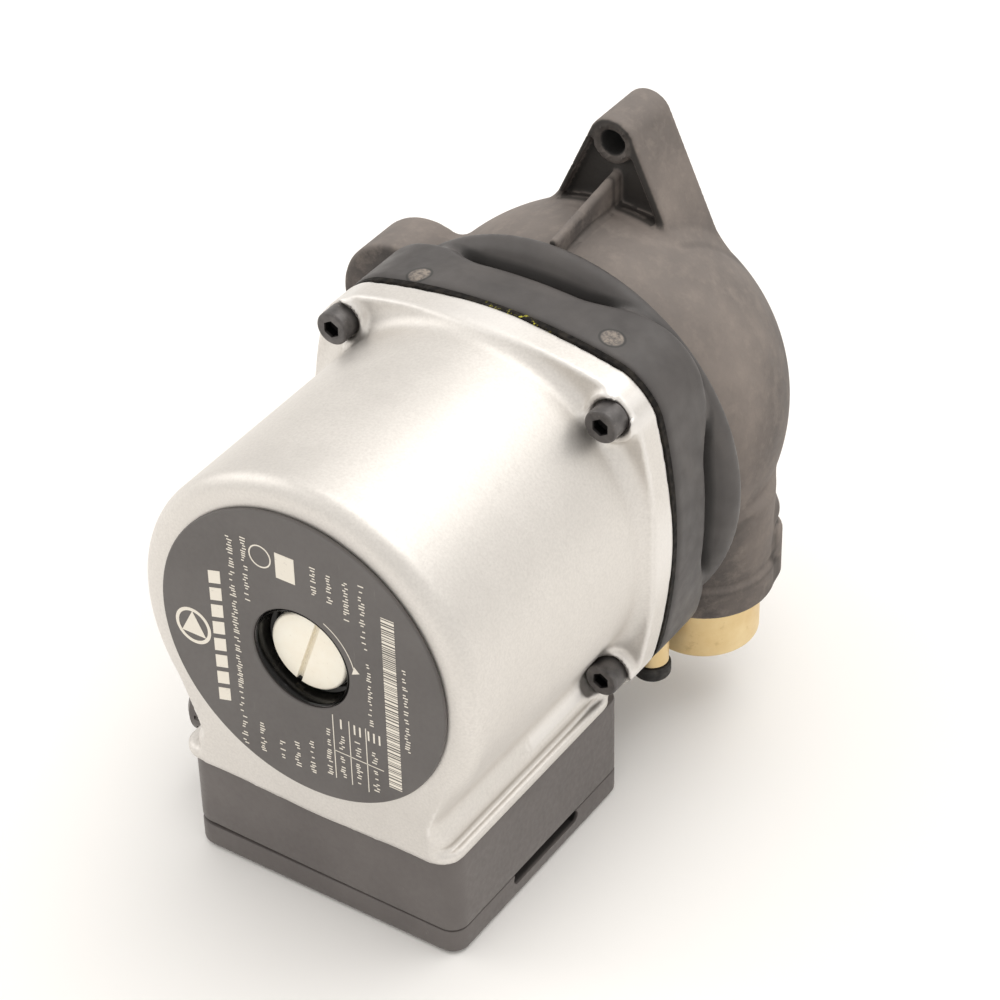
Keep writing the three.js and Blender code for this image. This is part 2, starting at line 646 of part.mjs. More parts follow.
add("terminal_box_base", "box_plastic", terminalBoxBase());
add("terminal_box_cover", "box_plastic", terminalBoxCover());
add("terminal_block", "terminal_plastic", terminalBlock());
add("capacitor", "capacitor_shell", capacitor());
add("selector_switch", "black_moulding", selectorSwitch());
add("speed_selector", "black_moulding", speedSelector());
add("box_screw_right", "steel", boxScrew(1));
add("box_screw_left", "steel", boxScrew(-1));
add("gland_body", "black_moulding", glandBody());
add("gland_nut", "black_moulding", glandNut());
add("gland_seal", "rubber", glandSeal());

export default pump;
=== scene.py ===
"""Circulator pump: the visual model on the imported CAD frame. Sizes are millimetres until a mesh is made."""

import json
import math

import bmesh
import bpy
import numpy as np
from mathutils import Matrix, Vector


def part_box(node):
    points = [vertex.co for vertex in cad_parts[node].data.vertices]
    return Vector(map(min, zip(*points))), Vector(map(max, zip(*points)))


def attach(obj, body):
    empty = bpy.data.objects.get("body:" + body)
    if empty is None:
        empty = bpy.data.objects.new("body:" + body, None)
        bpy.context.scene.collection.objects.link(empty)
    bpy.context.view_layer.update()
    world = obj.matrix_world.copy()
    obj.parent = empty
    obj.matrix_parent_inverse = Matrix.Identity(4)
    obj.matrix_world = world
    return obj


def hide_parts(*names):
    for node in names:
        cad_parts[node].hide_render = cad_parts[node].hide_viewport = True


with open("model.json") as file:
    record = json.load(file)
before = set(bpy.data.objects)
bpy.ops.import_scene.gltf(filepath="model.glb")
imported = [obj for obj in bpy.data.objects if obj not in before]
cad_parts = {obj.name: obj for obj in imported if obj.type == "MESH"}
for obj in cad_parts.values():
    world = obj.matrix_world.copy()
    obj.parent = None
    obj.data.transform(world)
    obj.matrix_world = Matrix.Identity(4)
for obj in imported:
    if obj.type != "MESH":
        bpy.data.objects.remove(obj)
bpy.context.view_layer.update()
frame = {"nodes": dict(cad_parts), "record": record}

MM = 0.001
BODY = "pump_body"


class Box:
    """The room that a CAD node takes up: its corners, middle and half widths, in millimetres."""

    def __init__(self, node):
        self.low, self.high = ([c / MM for c in corner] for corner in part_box(node))
        self.middle = [(a + b) / 2 for a, b in zip(self.low, self.high)]
        self.half = [(b - a) / 2 for a, b in zip(self.low, self.high)]


# Driving sizes, from the frame
HOUSING = Box("motor_housing")
PLATE = Box("nameplate")
HEAD = Box("pump_head")
DOME = Box("air_separator")
SOCKET = Box("inlet_socket")
STUB = Box("sensor_stub")
CAP = Box("stub_cap")
COVER = Box("terminal_box_cover")
BASE = Box("terminal_box_base")
GASKET = Box("flange_gasket")
PLUG = Box("vent_plug")
SEAT = Box("vent_seat_ring")
KNOB = Box("speed_selector")
NUT = Box("gland_nut")
GLAND = Box("gland_body")

AXIS = PLATE.middle[2]
PLATE_R = PLATE.half[0]
FRONT = HOUSING.low[1]
FLANGE_BACK = HOUSING.high[1]
FLANGE_FRONT = FLANGE_BACK - 7.5
FLANGE_MID = HOUSING.high[0]
FLANGE_CORNER = 8.0
CORNER_CENTRE = FLANGE_MID - 13.0
MOTOR_R = 46.5
HEAD_FRONT = HEAD.low[1]
HEAD_FLANGE_BACK = HEAD_FRONT + 14.5
RIM_BACK = HEAD.high[1]
RIM_R = HEAD.half[0]
DOME_FRONT = DOME.low[1]
DOME_R = 49.4
DOME_Y = DOME.high[1] - DOME_R
EAR_TIP_R = 6.5
EAR_Z = DOME.high[2] - EAR_TIP_R
EAR_FRONT, EAR_BACK = 92.0, 110.0
PORT_R = 16.8
PORT_X = DOME.low[0] + PORT_R
PORT_Z = 96.0
PORT_BACK = 82.3
PORT_BORE = 12.5
INLET_X = SOCKET.middle[0]
INLET_Y = SOCKET.middle[1]
INLET_R = SOCKET.half[0]
COLLAR_R = 18.0
COLLAR_BOTTOM = 32.0
STUB_X = STUB.middle[0]
STUB_Y = STUB.middle[1]
KNOB_X = KNOB.middle[0]
KNOB_Y = KNOB.middle[1]
KNOB_R = KNOB.half[0]
SCREW_OFFSET = 37.2
BOX_LEFT, BOX_RIGHT = COVER.low[0], COVER.high[0]
BOX_CORNER = 4.5
BOX_WALL = 2.2
LATCH_Y = (-11.0, 17.0)
PLATE_HOLE_R = 13.2
SLOT_ANGLE = 70.7
GAP = 0.3
SKIRT_BOTTOM = BASE.high[2] + GAP

# The motor casting: its wall, the four screws' bosses, spot faces and holes, and the skirt over the box
MOTOR_WALL = 4.2
BOSS_R, SPOT_R, SCREW_HOLE_R = 6.2, 4.9, 2.9
NECK_HALF, LIP_HEIGHT = 32.0, 2.9
ROLL_X, ROLL_Z, ROLL_R = 32.4, 5.4, 3.3

# The pump head: its thicker flange corners and the cone behind them
CORNER_START, CORNER_BLEND, CORNER_RISE = 13.0, 17.0, 4.6
CONE_R, CONE_RUN, CONE_DROP = 42.5, 12.0, 5.0
HEAD_HOLE_R = 2.6

# Inside the head: the bearing plate's seat, the volute, the impeller's eye and the duct to the dome
PLATE_SEAT_R, PLATE_SEAT_DEPTH = 38.0, 4.8
VOLUTE_R = 36.0
EYE_R = 15.1
DUCT_X, DUCT_Z, DUCT_R = -28.0, 93.0, 6.0

# The ear: where its flanks end, how deep its front is hollowed, its bore, and the thin rib before it
EAR_FOOT_X, EAR_FOOT_Z = 21.5, 112.0
EAR_POCKET = 3.4
EAR_BORE_R, EAR_SINK_R, EAR_GROOVE_R = 3.2, 4.3, 5.0
RIB_TOP, RIB_RISE, RIB_HALF = AXIS + 53.4, 0.16, 1.15

# The dome's wall, and the ring and the round lug of the inlet collar
DOME_WALL = 3.4
COLLAR_RING = 8.6
LUG_REACH, LUG_TURN, LUG_R = 13.2, math.radians(35), 6.3

# Round marks of the mould on top of the head's flange, as (x, y)
EJECTOR_MARKS = ((-24.3, 46.2), (27.7, 48.3))


# --- Solid fields: negative inside, in millimetres ---


def meet(a, b, r):
    """Where both fields are inside, with the outer edge rounded to r."""
    return np.minimum(np.maximum(a, b), -r) + np.hypot(np.maximum(a + r, 0), np.maximum(b + r, 0))


# A point is inside both fields, or inside either
both, either = np.maximum, np.minimum


def join(a, b, r):
    """Either field, with the inner corner filled to radius r."""
    return -meet(-a, -b, r)


def cut(a, b, r):
    """The first without the second, with the outer edge rounded to r."""
    return meet(a, -b, r)


def slab(v, low, high):
    """The room between two planes."""
    return both(low - v, v - high)


def rod(u, v, r, w, low, high, edge=0.0):
    """A round bar about (u, v) = 0 that runs along w."""
    side = np.hypot(u, v) - r
    ends = slab(w, low, high)
    return meet(side, ends, edge) if edge else both(side, ends)


def flange_outline(x, z):
    """The flange's outline: four bowed sides and round corners."""
    bow = CORNER_CENTRE - FLANGE_MID
    side_r = (FLANGE_CORNER**2 - bow**2 - CORNER_CENTRE**2) / (2 * (bow + FLANGE_CORNER))
    centre = side_r - FLANGE_MID
    u, w = np.abs(x), np.abs(z - AXIS)
    a = np.hypot(u + centre, w) - side_r
    b = np.hypot(w + centre, u) - side_r
    return meet(a, b, FLANGE_CORNER)


def four_screws(x, z):
    """Distance from the nearest flange screw's axis."""
    return np.hypot(np.abs(x) - SCREW_OFFSET, np.abs(z - AXIS) - SCREW_OFFSET)


def housing_field(x, y, z):
    """The round motor casting, its rear flange and the skirt over the terminal box."""
    radius = np.hypot(x, z - AXIS)
    barrel = meet(radius - (MOTOR_R - 0.1 + 0.002 * (y - FRONT)), FRONT - y, 4.5)
    barrel = both(barrel, y - FLANGE_BACK + 1)
    outline = flange_outline(x, z)
    flange = meet(outline, slab(y, FLANGE_FRONT, FLANGE_BACK), 1.0)
    screws = four_screws(x, z)
    boss = both(screws - BOSS_R, slab(y, FLANGE_FRONT - 1.6, FLANGE_BACK - 1))
    body = join(join(barrel, flange, 4.5), boss, 2.0)
    body = meet(body, outline, 1.0)
    side = np.abs(x)
    low = SKIRT_BOTTOM
    neck = both(y - FLANGE_FRONT - 1, slab(z, low + 1, AXIS))
    neck = both(meet(side - NECK_HALF, FRONT - y, 2.5), neck)
    skirt = join(body, neck, 7.0)
    along = both(FRONT + 1.5 - y, y - FLANGE_FRONT)
    roll = np.hypot(side - ROLL_X, z - low - ROLL_Z) - ROLL_R
    skirt = join(skirt, meet(roll, along, 3.2), 5.0)
    lip_side = slab(x, BOX_LEFT - 0.5, BOX_RIGHT + 0.5)
    lip_plan = meet(lip_side, both(FRONT - y, y - FLANGE_FRONT - 0.4), 5.5)
    lip = meet(lip_plan, slab(z, low, low + LIP_HEIGHT), 0.9)
    skirt = join(skirt, lip, 1.6)
    skirt = both(skirt, FRONT - y)
    spot = np.hypot(screws, np.maximum(FLANGE_FRONT - 6 - y, 0)) - SPOT_R
    spot = both(spot, y - FLANGE_FRONT)
    skirt = cut(skirt, spot, 0.5)
    skirt = cut(skirt, both(screws - SCREW_HOLE_R, slab(y, 0, FLANGE_BACK + 1)), 0.3)
    seat = both(radius - MOTOR_R + MOTOR_WALL, slab(y, FRONT + 3, FLANGE_BACK + 2))
    skirt = cut(skirt, seat, 0.5)
    skirt = cut(skirt, both(radius - PLATE_HOLE_R, slab(y, FRONT - 2, 0)), 0.4)
    leads = both(both(side - 12, np.abs(y) - 10), slab(z, low - 1, AXIS - MOTOR_R + 8))
    return cut(skirt, leads, 0.5)


def head_field(x, y, z):
    """A square flange, thicker at its corners, in front of a cone and a disc."""
    radius = np.hypot(x, z - AXIS)
    outline = flange_outline(x, z)
    corner = np.minimum(np.abs(x), np.abs(z - AXIS)) - CORNER_START
    corner = np.clip(corner / CORNER_BLEND, 0, 1)
    back = HEAD_FLANGE_BACK - 0.9 + CORNER_RISE * corner * corner * (3 - 2 * corner)
    flange = meet(outline, both(HEAD_FRONT - y, (y - back) / 1.08), 1.8)
    cone = (radius - CONE_R) * CONE_DROP - (y - HEAD_FLANGE_BACK) * CONE_RUN
    cone = cone / math.hypot(CONE_DROP, CONE_RUN)
    disc = meet(meet(radius - RIM_R, y - RIM_BACK, 1.1), cone, 2.4)
    disc = both(disc, HEAD_FLANGE_BACK - 3 - y)
    body = join(flange, disc, 2.6)
    recess = both(radius - PLATE_SEAT_R, slab(y, HEAD_FRONT - 1, HEAD_FRONT + PLATE_SEAT_DEPTH))
    volute = both(radius - VOLUTE_R, slab(y, HEAD_FRONT + 4, RIM_BACK - 2.5))
    eye = both(radius - EYE_R, slab(y, HEAD_FRONT, RIM_BACK + 1))
    body = cut(body, either(either(recess, volute), eye), 0.4)
    duct = np.hypot(x - DUCT_X, z - DUCT_Z) - DUCT_R
    body = cut(body, both(duct, slab(y, HEAD_FRONT + 8, RIM_BACK + 1)), 0.4)
    stub = np.hypot(x - STUB_X, y - STUB_Y) - 4.5
    body = cut(body, both(stub, slab(z, 20, STUB.high[2] + GAP)), 0.4)
    screws = both(four_screws(x, z) - HEAD_HOLE_R, slab(y, HEAD_FRONT - 1, HEAD_FLANGE_BACK - 2))
    return cut(body, screws, 0.3)


def ear_outline(x, z, inset):
    """The ear seen along Y: a round tip and two straight flanks."""
    drop = EAR_Z - EAR_FOOT_Z
    reach = math.hypot(EAR_FOOT_X, drop)
    lean = math.acos(EAR_TIP_R / reach) - math.atan2(drop, EAR_FOOT_X)
    u, w = np.abs(x), z - EAR_Z
    flank = u * math.cos(lean) + w * math.sin(lean) - EAR_TIP_R
    tip = np.hypot(u, w) - EAR_TIP_R
    beyond = w * math.cos(lean) - u * math.sin(lean) > 0
    return np.where(beyond, tip, flank) + inset


def dome_field(x, y, z):
    """The dome with its inlet collar, outlet port, ear and rib."""
    ball = np.sqrt(x**2 + (y - DOME_Y) ** 2 + (z - AXIS) ** 2)
    body = ball - DOME_R
    plan = np.hypot(x - INLET_X, y - INLET_Y)
    ring = meet(plan - COLLAR_R, slab(z, COLLAR_BOTTOM, COLLAR_BOTTOM + COLLAR_RING), 1.2)
    upper = meet(plan - COLLAR_R + 0.6, slab(z, COLLAR_BOTTOM + 7, COLLAR_BOTTOM + 30), 1.5)
    valley = np.hypot(plan - COLLAR_R - 0.2, z - COLLAR_BOTTOM - 9.9) - 1.3
    collar = cut(join(ring, upper, 1.0), valley, 0.6)
    lug_x = x - INLET_X - LUG_REACH * math.cos(LUG_TURN)
    lug_y = y - INLET_Y - LUG_REACH * math.sin(LUG_TURN)
    lug = meet(np.hypot(lug_x, lug_y) - LUG_R, slab(z, COLLAR_BOTTOM, COLLAR_BOTTOM + 17.5), 2.6)
    knuckle = np.sqrt(lug_x**2 + lug_y**2 + ((z - COLLAR_BOTTOM - 21) * 0.9) ** 2) - 5.4
    collar = join(collar, join(lug, knuckle, 0.8), 0.9)
    body = join(body, collar, 2.4)
    port = rod(x - PORT_X, z - PORT_Z, PORT_R, y, DOME_FRONT, PORT_BACK, 1.2)
    body = join(body, port, 3.0)
    below = DOME_R - 6 - ball
    ear = meet(ear_outline(x, z, 0), slab(y, EAR_FRONT, EAR_BACK), 1.0)
    ear = both(both(ear, below), AXIS + 20 - z)
    wall = 1.0 + 1.6 * (x > 0)
    pocket = both(ear_outline(x, z, wall), slab(y, EAR_FRONT - 1, EAR_FRONT + EAR_POCKET))
    pocket = both(pocket, DOME_R + 0.6 - ball)
    pocket = cut(pocket, rod(x, z - EAR_Z, EAR_TIP_R - 1.0, y, EAR_FRONT - 2, EAR_FRONT + 8), 1.0)
    ear = cut(ear, pocket, 0.8)
    body = join(body, ear, 3.0)
    top = RIB_TOP + (y - DOME_FRONT) * RIB_RISE
    blade = meet(np.abs(x) - RIB_HALF, z - top, 1.1)
    blade = both(both(blade, slab(y, DOME_FRONT, EAR_FRONT + 6)), below)
    body = join(body, blade, 1.0)
    body = both(body, DOME_FRONT - y)
    bore = rod(x, z - EAR_Z, EAR_BORE_R, y, EAR_FRONT - 2, EAR_BACK + 2)
    sink = rod(x, z - EAR_Z, EAR_SINK_R, y, EAR_FRONT - 2, EAR_FRONT + 0.8)
    groove = np.abs(np.hypot(x, z - EAR_Z) - EAR_GROOVE_R) - 0.35
    groove = both(groove, slab(y, EAR_FRONT - 1, EAR_FRONT + 0.5))
    body = cut(body, either(either(bore, sink), groove), 0.3)
    chamber = both(ball - (DOME_R - DOME_WALL), DOME_FRONT - 2 - y)
    outlet = rod(x - PORT_X, z - PORT_Z, PORT_BORE, y, DOME_FRONT + 3, PORT_BACK + 2)
    body = either(cut(body, chamber, 0.5), both(port, -outlet))
    body = cut(body, outlet, 0.8)
    return cut(body, rod(x - INLET_X, y - INLET_Y, INLET_R + GAP, z, 10, 50), 0.5)


# --- From a field to a mesh ---


def grid_of(field, low, high, step):
    """The field's values on a grid, made in layers to save memory."""
    axes = [np.arange(a, b + step, step, dtype=np.float32) for a, b in zip(low, high)]
    values = np.empty([len(a) for a in axes], np.float32)
    layers = 24
    for start in range(0, len(axes[0]), layers):
        part = axes[0][start : start + layers]
        values[start : start + layers] = field(
            part[:, None, None], axes[1][None, :, None], axes[2][None, None, :]
        )
    return values


def surface_net(values, low, step):
    """Points and quads where the values change sign: one point in each cell that the surface crosses."""
    inside = values < 0
    count = np.zeros([n - 1 for n in values.shape], np.int8)
    corners = [(i, j, k) for i in (0, 1) for j in (0, 1) for k in (0, 1)]
    shape = count.shape
    for i, j, k in corners:
        count += inside[i : i + shape[0], j : j + shape[1], k : k + shape[2]]
    active = (count > 0) & (count < 8)
    cells = np.argwhere(active)
    index = np.full(shape, -1, np.int64)
    index[active] = np.arange(len(cells))
    total = np.zeros((len(cells), 3))
    hits = np.zeros(len(cells))
    for a in corners:
        for axis in range(3):
            if a[axis]:
                continue
            b = list(a)
            b[axis] = 1
            va = values[tuple((cells + a).T)].astype(float)
            vb = values[tuple((cells + b).T)].astype(float)
            cross = (va < 0) != (vb < 0)
            share = np.where(cross, va / np.where(cross, va - vb, 1), 0)
            point = np.array(a, float) + share[:, None] * (np.array(b) - a)
            total += np.where(cross[:, None], point, 0)
            hits += cross
    points = np.array(low) + step * (cells + total / hits[:, None])
    quads = []
    for axis in range(3):
        u, v = [n for n in range(3) if n != axis]
        first = [slice(1, -1)] * 3
        second = [slice(1, -1)] * 3
        first[axis] = slice(0, -1)
        second[axis] = slice(1, None)
        a_in = inside[tuple(first)]
        b_in = inside[tuple(second)]
        at = np.argwhere(a_in != b_in)
        offset = np.array([1, 1, 1])
        offset[axis] = 0
        starts_inside = a_in[tuple(at.T)]
        at = at + offset
        eu, ev = np.eye(3, dtype=int)[u], np.eye(3, dtype=int)[v]
        ring = [at, at - eu, at - eu - ev, at - ev]
        faces = np.stack([index[tuple(c.T)] for c in ring], axis=1)
        flip = starts_inside if axis == 1 else ~starts_inside
        faces[flip] = faces[flip][:, ::-1]
        quads.append(faces)
    return points, np.concatenate(quads)


def slope_of(field, p, h=0.04):
    """How the field grows along x, y and z at each point."""
    columns = []
    for axis in range(3):
        d = np.zeros(3)
        d[axis] = h
        columns.append((field(*(p + d).T) - field(*(p - d).T)) / (2 * h))
    return np.stack(columns, axis=1)


def settle(field, p, step, rounds=3):
    """Moves points along the field's slope onto the surface."""
    for _ in range(rounds):
        g = slope_of(field, p)
        move = field(*p.T) / np.maximum((g**2).sum(1), 0.2)
        p = p - np.clip(move, -0.5 * step, 0.5 * step)[:, None] * g
    return p


def hollows(field, p, reach):
    """0.5 on a flat surface, less in a hollow and more on an edge."""
    g = slope_of(field, p)
    n = g / np.maximum(np.linalg.norm(g, axis=1), 1e-6)[:, None]
    thin = min(reach, 1.0)
    outside = field(*(p + n * reach).T) / reach
    inside = -field(*(p - n * thin).T) / thin
    return np.clip(0.5 + 0.5 * (outside - inside), 0, 1)


def mesh_object(name, points, faces):
    mesh = bpy.data.meshes.new(name)
    mesh.from_pydata((np.asarray(points) * MM).tolist(), [], [list(face) for face in faces])
    mesh.validate()
    piece = bpy.data.objects.new(name, mesh)
    bpy.context.scene.collection.objects.link(piece)
    return piece


def cast(name, field, node, step, reach=1.6):
    """A piece made from a field, inside its CAD node's box, with its hollows and edges marked."""
    box, pad = Box(node), 2.3 * step
    low = [c - pad for c in box.low]
    high = [c + pad for c in box.high]
    points, faces = surface_net(grid_of(field, low, high, step), low, step)
    points = settle(field, points, step)
    piece = mesh_object(name, points, faces)
    mark = piece.data.attributes.new("relief", "FLOAT", "POINT")
    mark.data.foreach_set("value", hollows(field, points, reach).astype(np.float32))
    smooth(piece)
    return piece


def smooth(piece, angle=None):
    piece.data.polygons.foreach_set("use_smooth", [True] * len(piece.data.polygons))
    if angle is not None:
        piece.data.set_sharp_from_angle(angle=math.radians(angle))
    return piece


def finish_piece(piece, slot, *nodes, body=BODY, look=None):
    """Gives a piece the look of its slot, or the look given, puts it under its body and hides the CAD nodes
    that it replaces.
    """
    piece.data.materials.clear()
    piece.data.materials.append(look or LOOKS[slot])
    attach(piece, body)
    if nodes:
        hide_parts(*nodes)


# --- Turned and lofted pieces ---


def lathe(name, profile, segments=96, x=0.0, y=0.0, z=0.0, way="Y"):
    """A body of revolution. Its (radius, along) profile starts and ends on the axis, or is a closed loop."""
    points, faces = [], []
    closed = profile[0][0] > 1e-6
    rings = []
    for r, along in profile:
        if r < 1e-6:
            rings.append([len(points)])
            points.append((0.0, along, 0.0))
            continue
        rings.append(list(range(len(points), len(points) + segments)))
        for i in range(segments):
            a = 2 * math.pi * i / segments
            points.append((r * math.sin(a), along, r * math.cos(a)))
    pairs = list(zip(rings, rings[1:]))
    if closed:
        pairs.append((rings[-1], rings[0]))
    for a, b in pairs:
        for i in range(segments):
            j = (i + 1) % segments
            corners = [a[i % len(a)], a[j % len(a)], b[j % len(b)], b[i % len(b)]]
            faces.append(list(dict.fromkeys(corners)))
    p = np.array(points)
    if way == "Z":
        p = np.stack([p[:, 0], -p[:, 2], p[:, 1]], axis=1)
    if way == "X":
        p = np.stack([p[:, 1], -p[:, 0], p[:, 2]], axis=1)
    piece = mesh_object(name, p + np.array([x, y, z]), [f for f in faces if len(f) > 2])
    outward(piece)
    return smooth(piece, 38)


def outward(piece):
    """Turns every face outward."""
    bm = bmesh.new()
    bm.from_mesh(piece.data)
    bmesh.ops.recalc_face_normals(bm, faces=bm.faces)
    bm.to_mesh(piece.data)
    bm.free()


def arc(cx, cy, r, start, end, steps=6):
    """Points on an arc, from start to end in degrees."""
    turns = [math.radians(start + (end - start) * i / steps) for i in range(steps + 1)]
    return [(cx + r * math.cos(t), cy + r * math.sin(t)) for t in turns]


def rounded(r, along, size):
    """The outer corner of a profile at its low end, rounded."""
    return [(r - size, along)] + arc(r - size, along + size, size, -90, 0, 5)


def box_ring(z, inset, back=COVER.high[1], per_corner=8, per_side=12):
    """One level of the terminal box: a rectangle with round corners and extra points along its sides."""
    front = COVER.low[1]
    r = max(BOX_CORNER - inset, 0.5)
    left, right = BOX_LEFT + inset + r, BOX_RIGHT - inset - r
    low, high = front + inset + r, back - inset - r
    outline = []
    for x, y, start in ((right, low, -90), (right, high, 0), (left, high, 90), (left, low, 180)):
        outline += arc(x, y, r, start, start + 90, per_corner)
    points = []
    for here, after in zip(outline, outline[1:] + outline[:1]):
        steps = per_side if math.dist(here, after) > 2 * r else 1
        for i in range(steps):
            x, y = (a + (b - a) * i / steps for a, b in zip(here, after))
            points.append([x, y, z])
    return points


def loft(name, rings):
    """A closed body through rings of equal length, capped at both ends."""
    n = len(rings[0])
    points = [p for ring in rings for p in ring]
    faces = []
    for level in range(len(rings) - 1):
        for i in range(n):
            j = (i + 1) % n
            faces.append([level * n + i, level * n + j, (level + 1) * n + j, (level + 1) * n + i])
    last = (len(rings) - 1) * n
    mesh = mesh_object(name, points, faces + [list(range(n)), [last + i for i in range(n)]])
    outward(mesh)
    return smooth(mesh, 40)


def carve_out(piece, cutter):
    """Cuts the cutter's shape out of the piece and removes the cutter."""
    modifier = piece.modifiers.new("cut", "BOOLEAN")
    modifier.object = cutter
    modifier.operation = "DIFFERENCE"
    modifier.solver = "EXACT"
    depsgraph = bpy.context.evaluated_depsgraph_get()
    made = bpy.data.meshes.new_from_object(piece.evaluated_get(depsgraph))
    piece.modifiers.clear()
    piece.data = made
    bpy.data.objects.remove(cutter)
    return smooth(piece, 40)


def plain_box(name, low, high):
    x0, y0, z0 = low
    x1, y1, z1 = high
    points = [(x, y, z) for x in (x0, x1) for y in (y0, y1) for z in (z0, z1)]
    faces = [[0, 1, 3, 2], [4, 6, 7, 5], [0, 4, 5, 1], [2, 3, 7, 6], [0, 2, 6, 4], [1, 5, 7, 3]]
    piece = mesh_object(name, points, faces)
    outward(piece)
    return piece


# --- Materials ---


class Look:
    """A procedural material built node by node, in the piece's own coordinates, which are the frame's."""

    def __init__(self, name, roughness=0.5, metallic=0.0, coat=0.0):
        self.made = bpy.data.materials.new(name)
        self.made.use_nodes = True
        self.nodes = self.made.node_tree.nodes
        self.links = self.made.node_tree.links
        self.shader = self.nodes["Principled BSDF"]
        self.shader.inputs["Metallic"].default_value = metallic
        self.shader.inputs["Roughness"].default_value = roughness
        self.shader.inputs["Coat Weight"].default_value = coat
        self.place = self.nodes.new("ShaderNodeTexCoord").outputs["Object"]

    def add(self, kind, inputs=None, **settings):
        node = self.nodes.new(kind)
        for key, value in settings.items():
            setattr(node, key, value)
        for key, value in (inputs or {}).items():
            if isinstance(value, bpy.types.NodeSocket):
                self.links.new(value, node.inputs[key])
            else:
                node.inputs[key].default_value = value
        return node

    def noise(self, scale, detail=3.0, rough=0.5, stretch=None):
        place = self.place
        if stretch:
            place = self.add("ShaderNodeMapping", {"Vector": place, "Scale": stretch}).outputs[0]
        inputs = {"Vector": place, "Scale": scale, "Detail": detail, "Roughness": rough}
        return self.add("ShaderNodeTexNoise", inputs).outputs["Fac"]

    def cells(self, scale):
        return self.add("ShaderNodeTexVoronoi", {"Vector": self.place, "Scale": scale}).outputs["Distance"]

    def remap(self, value, low, high, to_low=0.0, to_high=1.0):
        keys = {"Value": value, "From Min": low, "From Max": high, "To Min": to_low, "To Max": to_high}
        return self.add("ShaderNodeMapRange", keys).outputs[0]

    def spread(self, noise, low=0.0, high=1.0):
        """Noise, which stays near 0.5, stretched to the range from low to high."""
        return self.remap(noise, 0.3, 0.7, low, high)

    def math(self, kind, a, b):
        return self.add("ShaderNodeMath", {0: a, 1: b}, operation=kind).outputs[0]

    def mix(self, amount, a, b):
        """Goes from the first colour to the second by the amount. A colour is an output or three numbers."""
        a, b = ((*c, 1.0) if isinstance(c, tuple) else c for c in (a, b))
        return self.add("ShaderNodeMix", {0: amount, 6: a, 7: b}, data_type="RGBA").outputs[2]

    def product(self, first, *others):
        for other in others:
            first = self.math("MULTIPLY", first, other)
        return first

    def axes(self, vector=None):
        """The x, y and z outputs of a vector, which is the place on the piece unless stated."""
        return self.add("ShaderNodeSeparateXYZ", {0: self.place if vector is None else vector}).outputs

    def normal(self):
        """The x, y and z outputs of the surface's normal."""
        return self.axes(self.add("ShaderNodeNewGeometry").outputs["Normal"])

    def between(self, value, low, high, soft):
        """1 from low to high, falling to 0 within soft outside them. All in millimetres."""
        rise = self.remap(value, (low - soft) * MM, low * MM)
        return self.math("MULTIPLY", rise, self.remap(value, (high + soft) * MM, high * MM))

    def distance(self, sockets, target):
        """How far the place with the given coordinates is from the target point, in metres."""
        here = self.add("ShaderNodeCombineXYZ", sockets).outputs[0]
        aim = tuple(c * MM for c in target)
        return self.add("ShaderNodeVectorMath", {0: here, 1: aim}, operation="DISTANCE").outputs["Value"]

    def relief(self):
        """The cast pieces' own mark of hollows and edges."""
        return self.add("ShaderNodeAttribute", attribute_name="relief").outputs["Fac"]

    def upward(self):
        """1 where the surface faces up, 0 where it faces sideways or down."""
        return self.remap(self.normal()[2], 0.1, 0.95)

    def color(self, value):
        self.links.new(value, self.shader.inputs["Base Color"])

    def roughness(self, value):
        self.links.new(value, self.shader.inputs["Roughness"])

    def bump(self, height, distance_mm, strength=1.0):
        previous = self.shader.inputs["Normal"]
        inputs = {"Height": height, "Distance": distance_mm * MM, "Strength": strength}
        node = self.add("ShaderNodeBump", inputs)
        if previous.is_linked:
            self.links.new(previous.links[0].from_socket, node.inputs["Normal"])
        self.links.new(node.outputs[0], previous)


def cast_aluminium():
    look = Look("cast_aluminium", 0.42, 0.9)
    broad = look.noise(38, 4, 0.6)
    spots = look.noise(420, 5, 0.65)
    base = look.mix(look.spread(broad), (0.70, 0.672, 0.638), (0.77, 0.742, 0.708))
    grain = look.noise(1500, 3, 0.6)
    base = look.mix(look.remap(grain, 0.35, 0.7, 0, 0.5), base, (0.60, 0.575, 0.545))
    base = look.mix(look.remap(spots, 0.58, 0.80, 0, 0.35), base, (0.56, 0.53, 0.50))
    # Painted shade: darker in the hollows that the relief mark finds
    hollow = look.remap(look.relief(), 0.46, 0.30)
    base = look.mix(look.product(hollow, 0.55), base, (0.42, 0.38, 0.34))
    # Painted highlight: lighter on the edges that the relief mark finds
    edge = look.remap(look.relief(), 0.56, 0.75)
    base = look.mix(look.product(edge, 0.5), base, (0.90, 0.88, 0.86))
    look.color(base)
    rough = look.spread(broad, 0.36, 0.50)
    look.roughness(look.math("ADD", rough, look.product(spots, 0.10)))
    look.bump(look.noise(1500, 4, 0.6), 0.05, 0.55)
    look.bump(look.noise(130, 3, 0.5), 0.10, 0.35)
    return look.made


